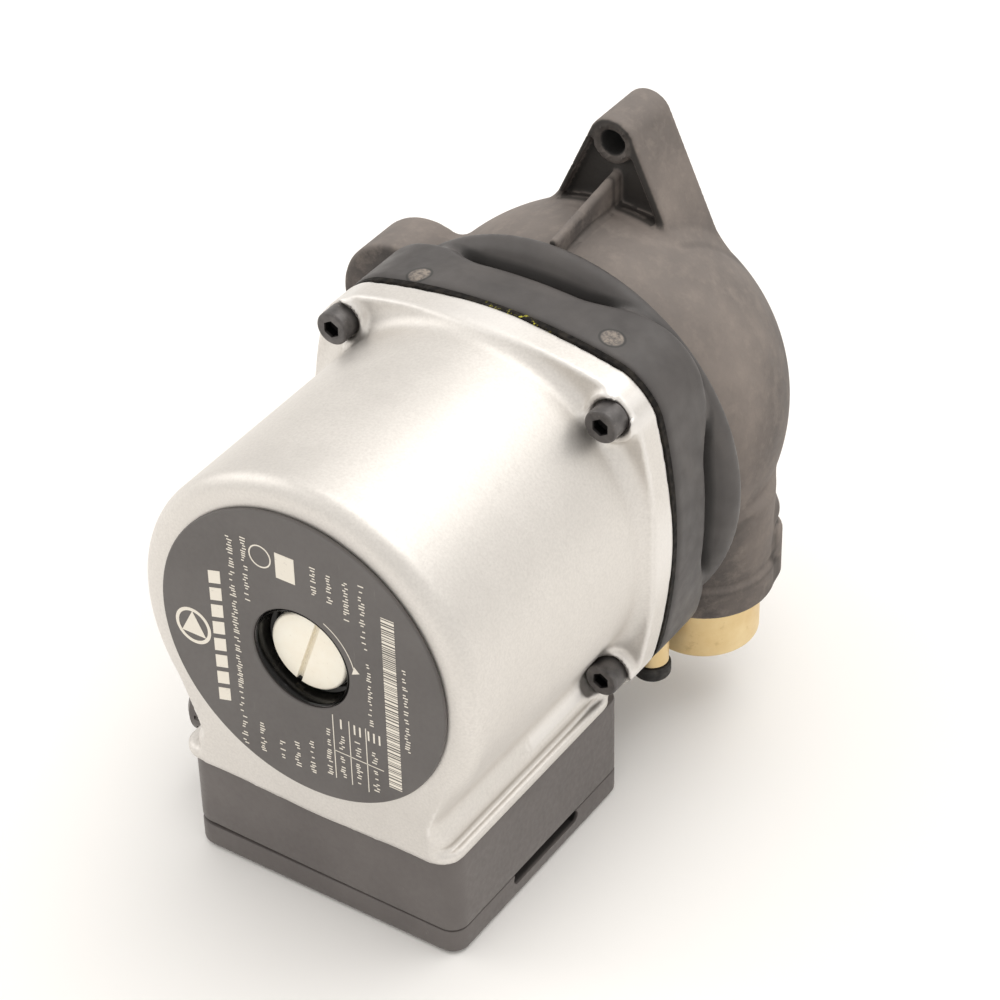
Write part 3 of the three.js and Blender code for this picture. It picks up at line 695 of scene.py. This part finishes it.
def head_plastic():
    look = Look("head_composite", 0.5)
    broad = look.noise(55, 4, 0.6)
    flow = look.noise(30, 3, 0.5, (1, 4, 1))
    base = look.mix(look.spread(broad), (0.050, 0.045, 0.044), (0.082, 0.074, 0.071))
    base = look.mix(look.remap(flow, 0.55, 0.75, 0, 0.35), base, (0.13, 0.115, 0.105))
    # Painted shade: darker in the hollows that the relief mark finds
    hollow = look.remap(look.relief(), 0.47, 0.25)
    base = look.mix(look.product(hollow, 0.8), base, (0.018, 0.016, 0.015))
    # Painted highlight: lighter on the edges that the relief mark finds
    edge = look.remap(look.relief(), 0.58, 0.80)
    base = look.mix(look.product(edge, 0.4), base, (0.20, 0.185, 0.175))
    for x, y in EJECTOR_MARKS:
        base = ejector_mark(look, base, x, y)
    look.color(base)
    look.roughness(look.spread(look.noise(240, 4), 0.42, 0.60))
    look.bump(look.noise(2200, 3), 0.03, 0.5)
    return look.made


def ejector_mark(look, base, x, y):
    """A round ejector mark on the flange's top, with a dark rim and a dusty middle."""
    place = look.axes()
    away = look.distance({0: place[0], 1: place[1]}, (x, y, 0))
    on_top = look.remap(place[2], 0.108, 0.112)
    dust = look.remap(look.noise(900, 4, 0.7), 0.35, 0.6)
    base = look.mix(look.product(dust, look.remap(away, 0.0028, 0.0024), on_top), base, (0.26, 0.22, 0.185))
    rim = look.between(away, 2.9, 3.1, 0.3)
    return look.mix(look.product(rim, on_top), base, (0.03, 0.028, 0.026))


def dome_plastic():
    look = Look("dome_composite", 0.75)
    broad = look.noise(32, 5, 0.62)
    fine = look.noise(260, 5, 0.7)
    base = look.mix(look.spread(broad), (0.058, 0.050, 0.047), (0.195, 0.163, 0.143))
    base = look.mix(look.remap(fine, 0.48, 0.75, 0, 0.55), base, (0.26, 0.222, 0.195))
    # Painted light: lighter where the surface faces up
    base = look.mix(look.product(look.upward(), 0.33), base, (0.36, 0.315, 0.285))
    # Painted shade: darker in the hollows that the relief mark finds
    hollow = look.remap(look.relief(), 0.47, 0.28)
    base = look.mix(look.product(hollow, 0.85), base, (0.022, 0.019, 0.017))
    # The ear: painted shade in its bore, and painted shade on the part of its pocket that faces the motor
    place = look.axes()
    away = look.distance({0: place[0], 2: place[2]}, (0, 0, EAR_Z))
    base = look.mix(look.remap(away, 0.0037, 0.0033), base, (0.012, 0.011, 0.010))
    painted_web_shade = look.product(look.remap(place[1], 0.0985, 0.0965), look.remap(place[2], 0.120, 0.126))
    facing = look.remap(look.normal()[1], -0.6, -0.9)
    painted_web_shade = look.product(painted_web_shade, look.remap(away, 0.0050, 0.0060, 0.6, 1), facing, 0.9)
    base = look.mix(painted_web_shade, base, (0.020, 0.018, 0.016))
    look.color(base)
    look.roughness(look.spread(fine, 0.62, 0.88))
    look.bump(look.noise(1300, 4, 0.65), 0.06, 0.7)
    look.bump(look.noise(120, 4), 0.12, 0.3)
    return look.made


def plate_face():
    look = Look("plate_face", 0.46)
    fine = look.noise(900, 3)
    base = look.mix(look.spread(look.noise(45, 4)), (0.095, 0.086, 0.082), (0.120, 0.110, 0.105))
    scratch = look.noise(160, 6, 0.7, (6, 1, 0.5))
    base = look.mix(look.remap(scratch, 0.66, 0.74, 0, 0.25), base, (0.30, 0.28, 0.26))
    look.color(base)
    look.roughness(look.spread(fine, 0.40, 0.54))
    look.bump(fine, 0.01, 0.5)
    return look.made


def plate_print():
    look = Look("plate_print", 0.55)
    worn = look.noise(700, 5, 0.7)
    look.color(look.mix(look.remap(worn, 0.60, 0.78), (0.80, 0.75, 0.66), (0.46, 0.43, 0.39)))
    look.roughness(look.spread(worn, 0.48, 0.62))
    look.bump(worn, 0.01, 0.4)
    return look.made


def gloss_black():
    look = Look("black_moulding", 0.12)
    look.shader.inputs["Specular IOR Level"].default_value = 0.25
    broad = look.remap(look.noise(300, 4), 0.5, 0.8)
    look.color(look.mix(broad, (0.004, 0.0038, 0.0035), (0.012, 0.011, 0.010)))
    look.roughness(look.spread(look.noise(600, 3), 0.08, 0.2))
    look.bump(look.noise(300, 3), 0.01, 0.2)
    return look.made


def nickel():
    look = Look("plug_nickel", 0.38, 0.1)
    broad = look.noise(160, 4, 0.6)
    base = look.mix(look.spread(broad), (0.93, 0.87, 0.74), (0.97, 0.93, 0.82))
    dirt = look.noise(700, 5, 0.7)
    look.color(look.mix(look.remap(dirt, 0.62, 0.78, 0, 0.6), base, (0.42, 0.36, 0.28)))
    look.roughness(look.spread(dirt, 0.32, 0.5))
    look.bump(look.noise(1500, 3, 0.5, (1, 1, 6)), 0.015, 0.5)
    return look.made


def rubber():
    look = Look("rubber", 0.7)
    dust = look.remap(look.noise(400, 4), 0.4, 0.75)
    look.color(look.mix(dust, (0.012, 0.011, 0.010), (0.05, 0.045, 0.04)))
    look.roughness(look.spread(look.noise(900, 3), 0.6, 0.82))
    look.bump(look.noise(1800, 3), 0.03, 0.5)
    return look.made


def gasket_look():
    """Black fibre gasket with a few flecks of yellow marking paint near the top."""
    look = Look("gasket", 0.75)
    base = look.mix(look.remap(look.noise(500, 4), 0.4, 0.75), (0.006, 0.005, 0.0045), (0.03, 0.025, 0.02))
    look.shader.inputs["Specular IOR Level"].default_value = 0.15
    place = look.axes()
    near_top = look.remap(place[2], 0.122, 0.1245)
    side = look.product(look.remap(place[0], -0.004, 0.001), look.remap(place[0], 0.016, 0.012))
    flecks = look.remap(look.noise(620, 4, 0.7), 0.56, 0.62)
    look.color(look.mix(look.product(near_top, side, flecks), base, (0.50, 0.46, 0.05)))
    look.roughness(look.spread(look.noise(900, 3), 0.6, 0.85))
    look.bump(look.noise(1400, 4), 0.05, 0.6)
    return look.made


def brass():
    look = Look("brass", 0.42, 0.75)
    broad = look.noise(60, 5, 0.6)
    base = look.mix(look.spread(broad), (0.72, 0.53, 0.26), (0.84, 0.68, 0.40))
    stain = look.noise(260, 5, 0.7)
    look.color(look.mix(look.remap(stain, 0.60, 0.78, 0, 0.6), base, (0.48, 0.33, 0.16)))
    look.roughness(look.spread(stain, 0.34, 0.55))
    look.bump(look.noise(900, 3, 0.5, (1, 1, 9)), 0.02, 0.5)
    return look.made


def black_steel():
    look = Look("black_screw", 0.42, 0.55)
    broad = look.noise(300, 4, 0.6)
    base = look.mix(look.spread(broad), (0.075, 0.070, 0.069), (0.145, 0.136, 0.133))
    wear = look.noise(900, 5, 0.7)
    # Painted shade: the hexagon socket is darkened inside
    place = look.axes()
    across = look.math("ABSOLUTE", place[0], 0)
    upright = look.math("ABSOLUTE", look.math("SUBTRACT", place[2], AXIS * MM), 0)
    away = look.distance({0: across, 1: upright}, (SCREW_OFFSET, SCREW_OFFSET, 0))
    face = Box("flange_screw_1").low[1]
    depth = look.remap(place[1], (face + 0.3) * MM, (face + 0.9) * MM)
    hex_socket_shade = look.product(depth, look.remap(away, 0.0031, 0.0028))
    base = look.mix(look.remap(wear, 0.60, 0.75, 0, 0.6), base, (0.30, 0.27, 0.24))
    look.color(look.mix(hex_socket_shade, base, (0.008, 0.007, 0.007)))
    look.roughness(look.spread(wear, 0.30, 0.50))
    look.bump(wear, 0.02, 0.6)
    return look.made


def box_plastic():
    look = Look("box_plastic", 0.52)
    broad = look.noise(40, 4, 0.55)
    base = look.mix(look.spread(broad), (0.098, 0.086, 0.082), (0.130, 0.116, 0.110))
    scuff = look.noise(340, 6, 0.75)
    base = look.mix(look.remap(scuff, 0.66, 0.78, 0, 0.45), base, (0.28, 0.255, 0.24))
    # Painted shade: the latch slot is darkened inside
    place = look.axes()
    inner, outer = (BOX_RIGHT - 3.8) * MM, (BOX_RIGHT - 0.9) * MM
    depth = look.remap(place[0], (BOX_RIGHT - 0.3) * MM, outer)
    depth = look.product(depth, look.remap(place[0], (BOX_RIGHT - 4.5) * MM, inner))
    tall = look.between(place[2], 4.0, 7.8, 0.4)
    long = look.between(place[1], LATCH_Y[0], LATCH_Y[1], 0.5)
    look.color(look.mix(look.product(depth, tall, long), base, (0.006, 0.0055, 0.005)))
    look.roughness(look.spread(look.noise(700, 3), 0.38, 0.54))
    look.bump(look.cells(2600), 0.03, 0.45)
    look.bump(look.noise(1400, 3), 0.02, 0.4)
    return look.made


def steel(name, tone, metallic=0.9, stretch=(1, 8, 1)):
    look = Look(name, 0.35, metallic)
    lines = look.noise(700, 3, 0.5, stretch)
    dark = tuple(c * 0.72 for c in tone)
    look.color(look.mix(look.spread(lines), dark, tone))
    look.roughness(look.spread(look.noise(200, 4), 0.25, 0.48))
    look.bump(lines, 0.02, 0.5)
    return look.made


def moulded(name, tone, roughness):
    look = Look(name, roughness)
    dark = tuple(c * 0.75 for c in tone)
    look.color(look.mix(look.spread(look.noise(80, 4)), dark, tone))
    look.roughness(look.spread(look.noise(500, 3), roughness - 0.08, roughness + 0.1))
    look.bump(look.noise(1800, 3), 0.02, 0.5)
    return look.made


LOOKS = {
    "cast_aluminium": cast_aluminium(),
    "plate_print": plate_face(),
    "black_moulding": gloss_black(),
    "plug_nickel": nickel(),
    "rubber": rubber(),
    "steel": steel("steel", (0.62, 0.61, 0.60)),
    "laminations": steel("laminations", (0.34, 0.34, 0.36), 0.7, (1, 60, 1)),
    "copper": steel("copper", (0.62, 0.27, 0.12), 0.8, (3, 20, 3)),
    "head_composite": head_plastic(),
    "dome_composite": dome_plastic(),
    "brass": brass(),
    "black_screw": black_steel(),
    "box_plastic": box_plastic(),
}
PLAIN = {
    "ceramic": ((0.82, 0.79, 0.72), 0.3),
    "carbon": ((0.035, 0.035, 0.037), 0.55),
    "impeller_plastic": ((0.64, 0.59, 0.50), 0.5),
    "terminal_plastic": ((0.72, 0.70, 0.64), 0.5),
    "capacitor_shell": ((0.62, 0.62, 0.60), 0.45),
}
LOOKS.update({name: moulded(name, tone, roughness) for name, (tone, roughness) in PLAIN.items()})
PRINT_LOOK = plate_print()
GASKET_LOOK = gasket_look()

# The CAD bodies that no piece replaces wear their slot's look
for entry in frame["record"]["subparts"]:
    cad = frame["nodes"][entry["node"]]
    cad.data.materials.clear()
    cad.data.materials.append(LOOKS[entry["material_slot"]])

# --- The pieces ---


def motor():
    housing = cast("housing_casting", housing_field, "motor_housing", 0.88)
    finish_piece(housing, "cast_aluminium", "motor_housing")


def composite_parts():
    head = cast("head_moulding", head_field, "pump_head", 0.8, 2.6)
    finish_piece(head, "head_composite", "pump_head")
    dome = cast("separator_moulding", dome_field, "air_separator", 0.84)
    finish_piece(dome, "dome_composite", "air_separator")


def gasket():
    low, high = GASKET.low[1] - 0.35, GASKET.high[1] + 0.35
    turns = [2 * math.pi * i / 240 for i in range(240)]
    outline = [(math.cos(a), math.sin(a)) for a in turns]
    rings = []
    bore = PLATE_SEAT_R
    reach = [edge_reach(u, v) for u, v in outline]
    for y, inset in ((low, 0.45), (low + 0.25, 0.12), (high - 0.25, 0.12), (high, 0.45)):
        rings.append([(u * (r - inset), y, AXIS + v * (r - inset)) for (u, v), r in zip(outline, reach)])
    rings.append([(u * bore, high, AXIS + v * bore) for u, v in outline])
    rings.append([(u * bore, low, AXIS + v * bore) for u, v in outline])
    n, levels = len(outline), len(rings)
    points = [p for ring in rings for p in ring]
    faces = []
    for level in range(levels):
        below, above = level * n, (level + 1) % levels * n
        for i in range(n):
            j = (i + 1) % n
            faces.append([below + i, below + j, above + j, above + i])
    piece = mesh_object("gasket_sheet", points, faces)
    outward(piece)
    smooth(piece, 40)
    finish_piece(piece, "rubber", "flange_gasket", look=GASKET_LOOK)


def edge_reach(u, v):
    """How far the flange outline is from the axis in the direction (u, v)."""
    low, high = 30.0, 75.0
    for _ in range(30):
        middle = (low + high) / 2
        if flange_outline(np.float64(u * middle), np.float64(AXIS + v * middle)) < 0:
            low = middle
        else:
            high = middle
    return low


def name_plate():
    front, back = PLATE.low[1] + 0.06, PLATE.high[1]
    edge = 0.25
    profile = [(PLATE_HOLE_R + edge, front), (PLATE_R - edge, front), (PLATE_R, front + edge)]
    profile += [(PLATE_R, back), (PLATE_HOLE_R, back), (PLATE_HOLE_R, front + edge)]
    plate = lathe("plate_disc", profile, 160, z=AXIS)
    finish_piece(plate, "plate_print", "nameplate")


def bar(marks, x0, x1, z0, z1):
    """One filled rectangle of print."""
    marks.append([(x0, z0), (x1, z0), (x1, z1), (x0, z1)])


def line_of_marks(marks, rng, x, z0, z1, height):
    """A row of short strokes that stands for a line of print, running up the plate."""
    z = z0
    while z < z1 - 0.4:
        low, high = sorted(rng.uniform(-0.5, 0.5, 2) * 0.6)
        bar(marks, x + (low - 0.2) * height, x + (high + 0.2) * height, z, z + 0.3)
        z += rng.choice([0.62, 0.78, 0.78, 1.6])


def stripes(marks, rng, x0, x1, z0, z1):
    """A strip of thin and thick bars."""
    z = z0
    while z < z1:
        thick = rng.choice([0.22, 0.22, 0.44, 0.66])
        bar(marks, x0, x1, z, min(z + thick, z1))
        z += thick + rng.choice([0.22, 0.33, 0.44])


def arc_band(marks, r, width, start, end, steps, cx=0.0, cz=0.0):
    """A curved line of print, as short four-sided pieces."""
    for i in range(steps):
        a, b = (math.radians(start + (end - start) * k / steps) for k in (i, i + 1))
        inner, outer = r - width / 2, r + width / 2
        corners = [(outer, a), (outer, b), (inner, b), (inner, a)]
        marks.append([(cx + q * math.cos(t), cz + q * math.sin(t)) for q, t in corners])


def plate_marks():
    """Generic print: rows of strokes, a ruled table with bar symbols, a striped strip and a pump symbol."""
    rng = np.random.default_rng(7)
    marks = []
    # The general symbol for a pump: a ring with a triangle
    x, z = -30.5, -3.5
    arc_band(marks, 4.6, 0.9, 0, 360, 40, x, z)
    tips = [math.radians(angle) for angle in (90, 215, 325)]
    marks.append([(x + 4.2 * math.cos(t), z + 4.2 * math.sin(t)) for t in tips])
    for i in range(8):
        z = -22.8 + 4.9 * i
        marks.append([(-24.7, z), (-21.3, z + 1.0), (-21.3, z + 4.6), (-24.7, z + 3.6)])
    line_of_marks(marks, rng, -17.9, -33.0, 28.0, 1.9)
    line_of_marks(marks, rng, -13.9, 11.0, 29.0, 1.7)
    arc_band(marks, 2.9, 0.35, 0, 360, 28, -9.4, 25.3)
    bar(marks, -5.2, 0.0, 21.2, 28.2)
    lines = [(5.0, 20.5, 29), (9.3, 20.0, 29.3), (13.7, 17.0, 29), (17.9, 10.8, 29)]
    lines += [(-12.6, -33, -23), (-7.1, -32.6, -26), (-2.8, -33, -24.5), (1.4, -33, -23.4)]
    for x, z0, z1 in lines:
        line_of_marks(marks, rng, x, z0, z1, 1.8)
    line_of_marks(marks, rng, 6.4, -31.1, -17.0, 1.7)
    line_of_marks(marks, rng, 18.8, -11.0, 7.4, 1.5)
    # The ruled table: three rows, each with one, two or three bars at its end
    for row, x in enumerate((10.2, 14.7, 19.3)):
        bar(marks, x - 2.35, x - 2.13, -31.5, -12.5)
        line_of_marks(marks, rng, x, -30.3, -24.0, 1.9)
        line_of_marks(marks, rng, x, -22.0, -17.6, 1.9)
        for k in range(row + 1):
            start = x - 0.75 * row + 1.5 * k
            bar(marks, start - 0.22, start + 0.22, -15.8, -13.0)
    bar(marks, 7.9, 21.6, -23.2, -23.0)
    stripes(marks, rng, 22.9, 26.4, -27.0, 22.2)
    line_of_marks(marks, rng, 28.6, -14.2, 9.8, 1.6)
    arc_band(marks, 15.2, 0.22, 14, 62, 20)
    marks.append([(14.9, 4.4), (14.2, 2.0), (16.3, 3.0)])
    return marks


def printed_layer():
    """The print as a thin layer, part of it sunk into the plate."""
    top, bottom = PLATE.low[1], PLATE.low[1] + 0.12
    points, faces = [], []
    for outline in plate_marks():
        n = len(outline)
        start = len(points)
        points += [(x, top, AXIS + z) for x, z in outline] + [(x, bottom, AXIS + z) for x, z in outline]
        faces.append([start + i for i in range(n)])
        faces.append([start + n + i for i in reversed(range(n))])
        for i in range(n):
            j = (i + 1) % n
            faces.append([start + i, start + n + i, start + n + j, start + j])
    layer = mesh_object("plate_marks", points, faces)
    outward(layer)
    finish_piece(layer, "plate_print", look=PRINT_LOOK)


def vent():
    front, back = SEAT.low[1], SEAT.high[1]
    outer = SEAT.half[0]
    inner = PLUG.half[0] + 0.5
    profile = [(inner, front + 5.2), (outer - 0.9, front + 4.6), (outer - 0.55, front + 0.3)]
    profile += [(outer - 0.3, front), (outer, front + 0.3), (outer, back), (inner, back)]
    ring = lathe("vent_ring", profile, 96, z=AXIS)
    finish_piece(ring, "black_moulding", "vent_seat_ring")
    face, r = PLUG.low[1], PLUG.half[0]
    neck_r, slot_half, slot_depth = 8.2, 0.75, 1.5
    under = face + 3.6
    profile = [(0, face)] + rounded(r, face, 0.7)
    profile += [(r, under), (neck_r, under)]
    turns = 4
    pitch = (PLUG.high[1] - under) / (turns + 0.6)
    for i in range(turns):
        y = under + pitch * (i + 0.35)
        profile += [(neck_r, y), (neck_r - 0.5, y + pitch * 0.5)]
    profile += [(neck_r - 0.4, PLUG.high[1]), (0, PLUG.high[1])]
    plug = lathe("plug_body", profile, 96, z=AXIS)
    tilt = Matrix.Rotation(math.radians(-SLOT_ANGLE), 4, "Y")
    cutter = plain_box("slot_cutter", (-r - 1, face - 2, -slot_half), (r + 1, face + slot_depth, slot_half))
    cutter.data.transform(tilt)
    cutter.data.transform(Matrix.Translation((0, 0, AXIS * MM)))
    carve_out(plug, cutter)
    finish_piece(plug, "plug_nickel", "vent_plug", body="plug")


def screw(number):
    box = Box(f"flange_screw_{number}")
    x, z, r = box.middle[0], box.middle[2], box.half[0]
    front, end, under = box.low[1], box.high[1], FLANGE_FRONT - 0.3
    shank_r, hex_r, hex_depth = 2.4, 2.32, 2.6
    profile = [(0, front), (r - 0.75, front)] + arc(r - 0.6, front + 0.6, 0.6, -90, 0, 5)
    profile += [(r, under - 0.2), (r - 0.2, under), (shank_r, under), (shank_r, end), (0, end)]
    body = lathe(f"screw_{number}", profile, 48, x=x, z=z)
    hexagon = [(0, front - 1), (hex_r, front - 1), (hex_r, front + hex_depth), (0, front + 3.2)]
    carve_out(body, lathe("hex_cutter", hexagon, 6, x=x, z=z))
    finish_piece(body, "black_screw", f"flange_screw_{number}")


def brass_parts():
    bottom, top = SOCKET.low[2], SOCKET.high[2]
    inner = INLET_R - 3
    profile = [(inner + 0.6, bottom)] + rounded(INLET_R, bottom, 1.1)
    profile += [(INLET_R, top), (inner, top), (inner, bottom + 0.6)]
    tube = lathe("inlet_tube", profile, 96, x=INLET_X, y=INLET_Y, way="Z")
    finish_piece(tube, "brass", "inlet_socket")
    r = STUB.half[0]
    low, high = STUB.low[2], STUB.high[2]
    profile = [(1.5, low), (r - 0.3, low), (r, low + 0.3), (r, high), (1.5, high)]
    stub = lathe("stub_tube", profile, 48, x=STUB_X, y=STUB_Y, way="Z")
    finish_piece(stub, "brass", "sensor_stub")
    r = CAP.half[0]
    low, high = CAP.low[2], CAP.high[2]
    profile = [(0, low)] + rounded(r, low, 1.2)
    profile += [(r, high - 0.5), (r - 0.4, high), (0, high)]
    cap = lathe("stub_end_cap", profile, 48, x=STUB_X, y=STUB_Y, way="Z")
    finish_piece(cap, "rubber", "stub_cap")


def terminal_box():
    wall, ring, edge = BOX_WALL, box_ring, 1.4
    low, high = COVER.low[2], COVER.high[2]
    turns = np.linspace(math.pi / 2, 0, 6)
    rings = [ring(low + edge * (1 - math.sin(t)), edge * (1 - math.cos(t))) for t in turns]
    rings += [ring(high - 0.5, 0), ring(high - 0.15, 0.12), ring(high, 0.45)]
    rings += [ring(high, wall - 0.3), ring(high - 0.3, wall)]
    rings += [ring(low + wall + 1, wall), ring(low + wall, wall + 1)]
    cover = loft("cover_tray", rings)
    carve_out(cover, latch_cutter(BOX_RIGHT - 3, high - 3.1, high + 0.4))
    hole_r = KNOB_R + GAP
    profile = [(0, low - 2), (hole_r + 1, low - 2), (hole_r, low + 0.6), (hole_r, low + 4), (0, low + 4)]
    carve_out(cover, lathe("hole_cutter", profile, 64, x=KNOB_X, y=KNOB_Y, way="Z"))
    finish_piece(cover, "box_plastic", "terminal_box_cover", body="cover")

    low, high = BASE.low[2], BASE.high[2]
    inner, split_lift, ledge = FLANGE_FRONT - wall, 0.8, 24.5
    rings = [ring(low + 0.3, wall), ring(low, wall - 0.3), ring(low, 0.45)]
    rings += [ring(low + 0.15, 0.12), ring(low + 0.5, 0)]
    rings += [ring(low + 0.5 + (high - low - 1.2) * k / 6, 0) for k in range(1, 7)]
    rings += [ring(high - 0.2, 0.15), ring(high, 0.6)]
    shell = [ring(high - wall, wall + 0.5, inner), ring(high - wall - 0.5, wall, inner)]
    shell += [ring(ledge + 0.5, wall, inner), ring(ledge, wall)]
    shell += [lifted(level, split_lift) for level in rings[:5]] + rings[5:]
    base = loft("box_shell", shell)
    carve_out(base, flange_cutter())
    finish_piece(base, "box_plastic", "terminal_box_base")


def lifted(level, rise):
    """Raises the left end of a level, so that the split line is wider there."""
    span_x = BOX_RIGHT - BOX_LEFT
    return [[x, y, z + rise * ((BOX_RIGHT - x) / span_x) ** 2] for x, y, z in level]


def flange_cutter():
    """The motor flange's room in the top back edge of the box."""
    turns = [2 * math.pi * i / 160 for i in range(160)]
    rings = []
    for y in (FLANGE_FRONT - 0.3, FLANGE_BACK + 1):
        reach = [(math.cos(t), math.sin(t), edge_reach(math.cos(t), math.sin(t)) + 0.3) for t in turns]
        rings.append([(u * r, y, AXIS + v * r) for u, v, r in reach])
    return loft("flange_cutter", rings)


def latch_cutter(x, z0, z1):
    """A flat slot with round ends on the box's right side."""
    r = (z1 - z0) / 2
    y0, y1, mid = LATCH_Y[0], LATCH_Y[1], (z0 + z1) / 2
    loop = arc(y1 - r, mid, r, -90, 90, 8) + arc(y0 + r, mid, r, 90, 270, 8)
    rings = [[(x, y, z) for y, z in loop], [(x + 6, y, z) for y, z in loop]]
    return loft("latch_cutter", rings)


def knob():
    low, high = KNOB.low[2], KNOB.high[2]
    x, y, r = KNOB_X, KNOB_Y, KNOB_R
    profile = [(0, low)] + rounded(r, low, 0.8) + [(r, high), (0, high)]
    body = lathe("selector_knob", profile, 72, x=x, y=y, way="Z")
    carve_out(body, plain_box("slot_cutter", (x - r + 1.5, y - 1, low - 1), (x + r - 1.5, y + 1, low + 1.6)))
    carve_out(body, plain_box("mark_cutter", (x - 0.6, y + 2.2, low - 1), (x + 0.6, y + r - 1.2, low + 0.5)))
    finish_piece(body, "black_moulding", "speed_selector", body="selector")


def gland():
    y, z = GLAND.middle[1], GLAND.middle[2]
    r, shorter = NUT.half[2], 1.2
    left, right = NUT.low[0] + shorter, NUT.high[0]
    profile = [(4.4, left + 0.5), (4.9, left), (r - 1.6, left), (r, left + 1.6)]
    profile += [(r, right - 0.4), (r - 0.4, right), (6.5, right), (6.5, left + 3.6), (4.4, left + 3.6)]
    nut = lathe("gland_cap", profile, 72, y=y, z=z, way="X")
    notches, notch_r = 14, 0.7
    notch = [(0, left + 3), (notch_r, left + 3), (notch_r, right + 1), (0, right + 1)]
    for i in range(notches):
        a = 2 * math.pi * i / notches
        notch_y, notch_z = y + (r + 0.15) * math.cos(a), z + (r + 0.15) * math.sin(a)
        carve_out(nut, lathe("notch_cutter", notch, 12, y=notch_y, z=notch_z, way="X"))
    finish_piece(nut, "black_moulding", "gland_nut", look=LOOKS["box_plastic"])


def stage():
    reach = 4000
    corners = [(-reach, -reach, 0), (reach, -reach, 0), (reach, reach, 0), (-reach, reach, 0)]
    floor = mesh_object("floor", corners, [[0, 1, 2, 3]])
    look = Look("floor", 0.6)
    tone = look.noise(0.8, 2)
    look.color(look.mix(tone, (0.95, 0.94, 0.925), (0.965, 0.955, 0.94)))
    floor.data.materials.append(look.made)
    floor.location.z = -0.0004


def lamp(name, place, aim, size, watts, tone=(1, 1, 1)):
    light = bpy.data.lights.new(name, "AREA")
    light.shape = "RECTANGLE"
    light.size, light.size_y = size
    light.energy = watts
    light.color = tone
    made = bpy.data.objects.new(name, light)
    bpy.context.scene.collection.objects.link(made)
    made.location = place
    made.rotation_mode = "QUATERNION"
    made.rotation_quaternion = (Vector(aim) - Vector(place)).to_track_quat("-Z", "Y")


def lighting():
    bpy.context.scene.view_settings.view_transform = "Standard"
    world = bpy.data.worlds.new("studio")
    bpy.context.scene.world = world
    world.use_nodes = True
    sky = world.node_tree.nodes["Background"].inputs
    sky["Color"].default_value = (1.0, 0.975, 0.94, 1)
    sky["Strength"].default_value = 0.95
    lamp("top_panel", (0.25, 0.55, 1.25), (0, 0.03, 0.08), (1.2, 1.2), 7.0, (1, 0.985, 0.96))
    lamp("left_panel", (-1.1, -0.3, 0.8), (0, 0.03, 0.08), (0.8, 0.8), 2.5, (1, 0.98, 0.95))


def camera():
    azimuth, elevation, roll = (math.radians(a) for a in (34.38, 37.14, -1.45))
    distance = 0.7281
    target = Vector((0.0272, 0.002, 0.10646))
    flat = math.cos(elevation)
    back = Vector((math.sin(azimuth) * flat, -math.cos(azimuth) * flat, math.sin(elevation)))
    level = (-back).cross(Vector((0, 0, 1))).normalized()
    rise = level.cross(-back)
    right = level * math.cos(roll) + rise * math.sin(roll)
    up = rise * math.cos(roll) - level * math.sin(roll)
    data = bpy.data.cameras.new("camera")
    data.sensor_width = 36
    data.lens = 118.08
    made = bpy.data.objects.new("camera", data)
    bpy.context.scene.collection.objects.link(made)
    turn = Matrix((right, up, back)).transposed().to_4x4()
    made.matrix_world = Matrix.Translation(target + back * distance) @ turn
    bpy.context.scene.camera = made


camera()
stage()
lighting()
motor()
composite_parts()
gasket()
name_plate()
printed_layer()
vent()
for number in (1, 2, 3, 4):
    screw(number)
brass_parts()
terminal_box()
knob()
gland()
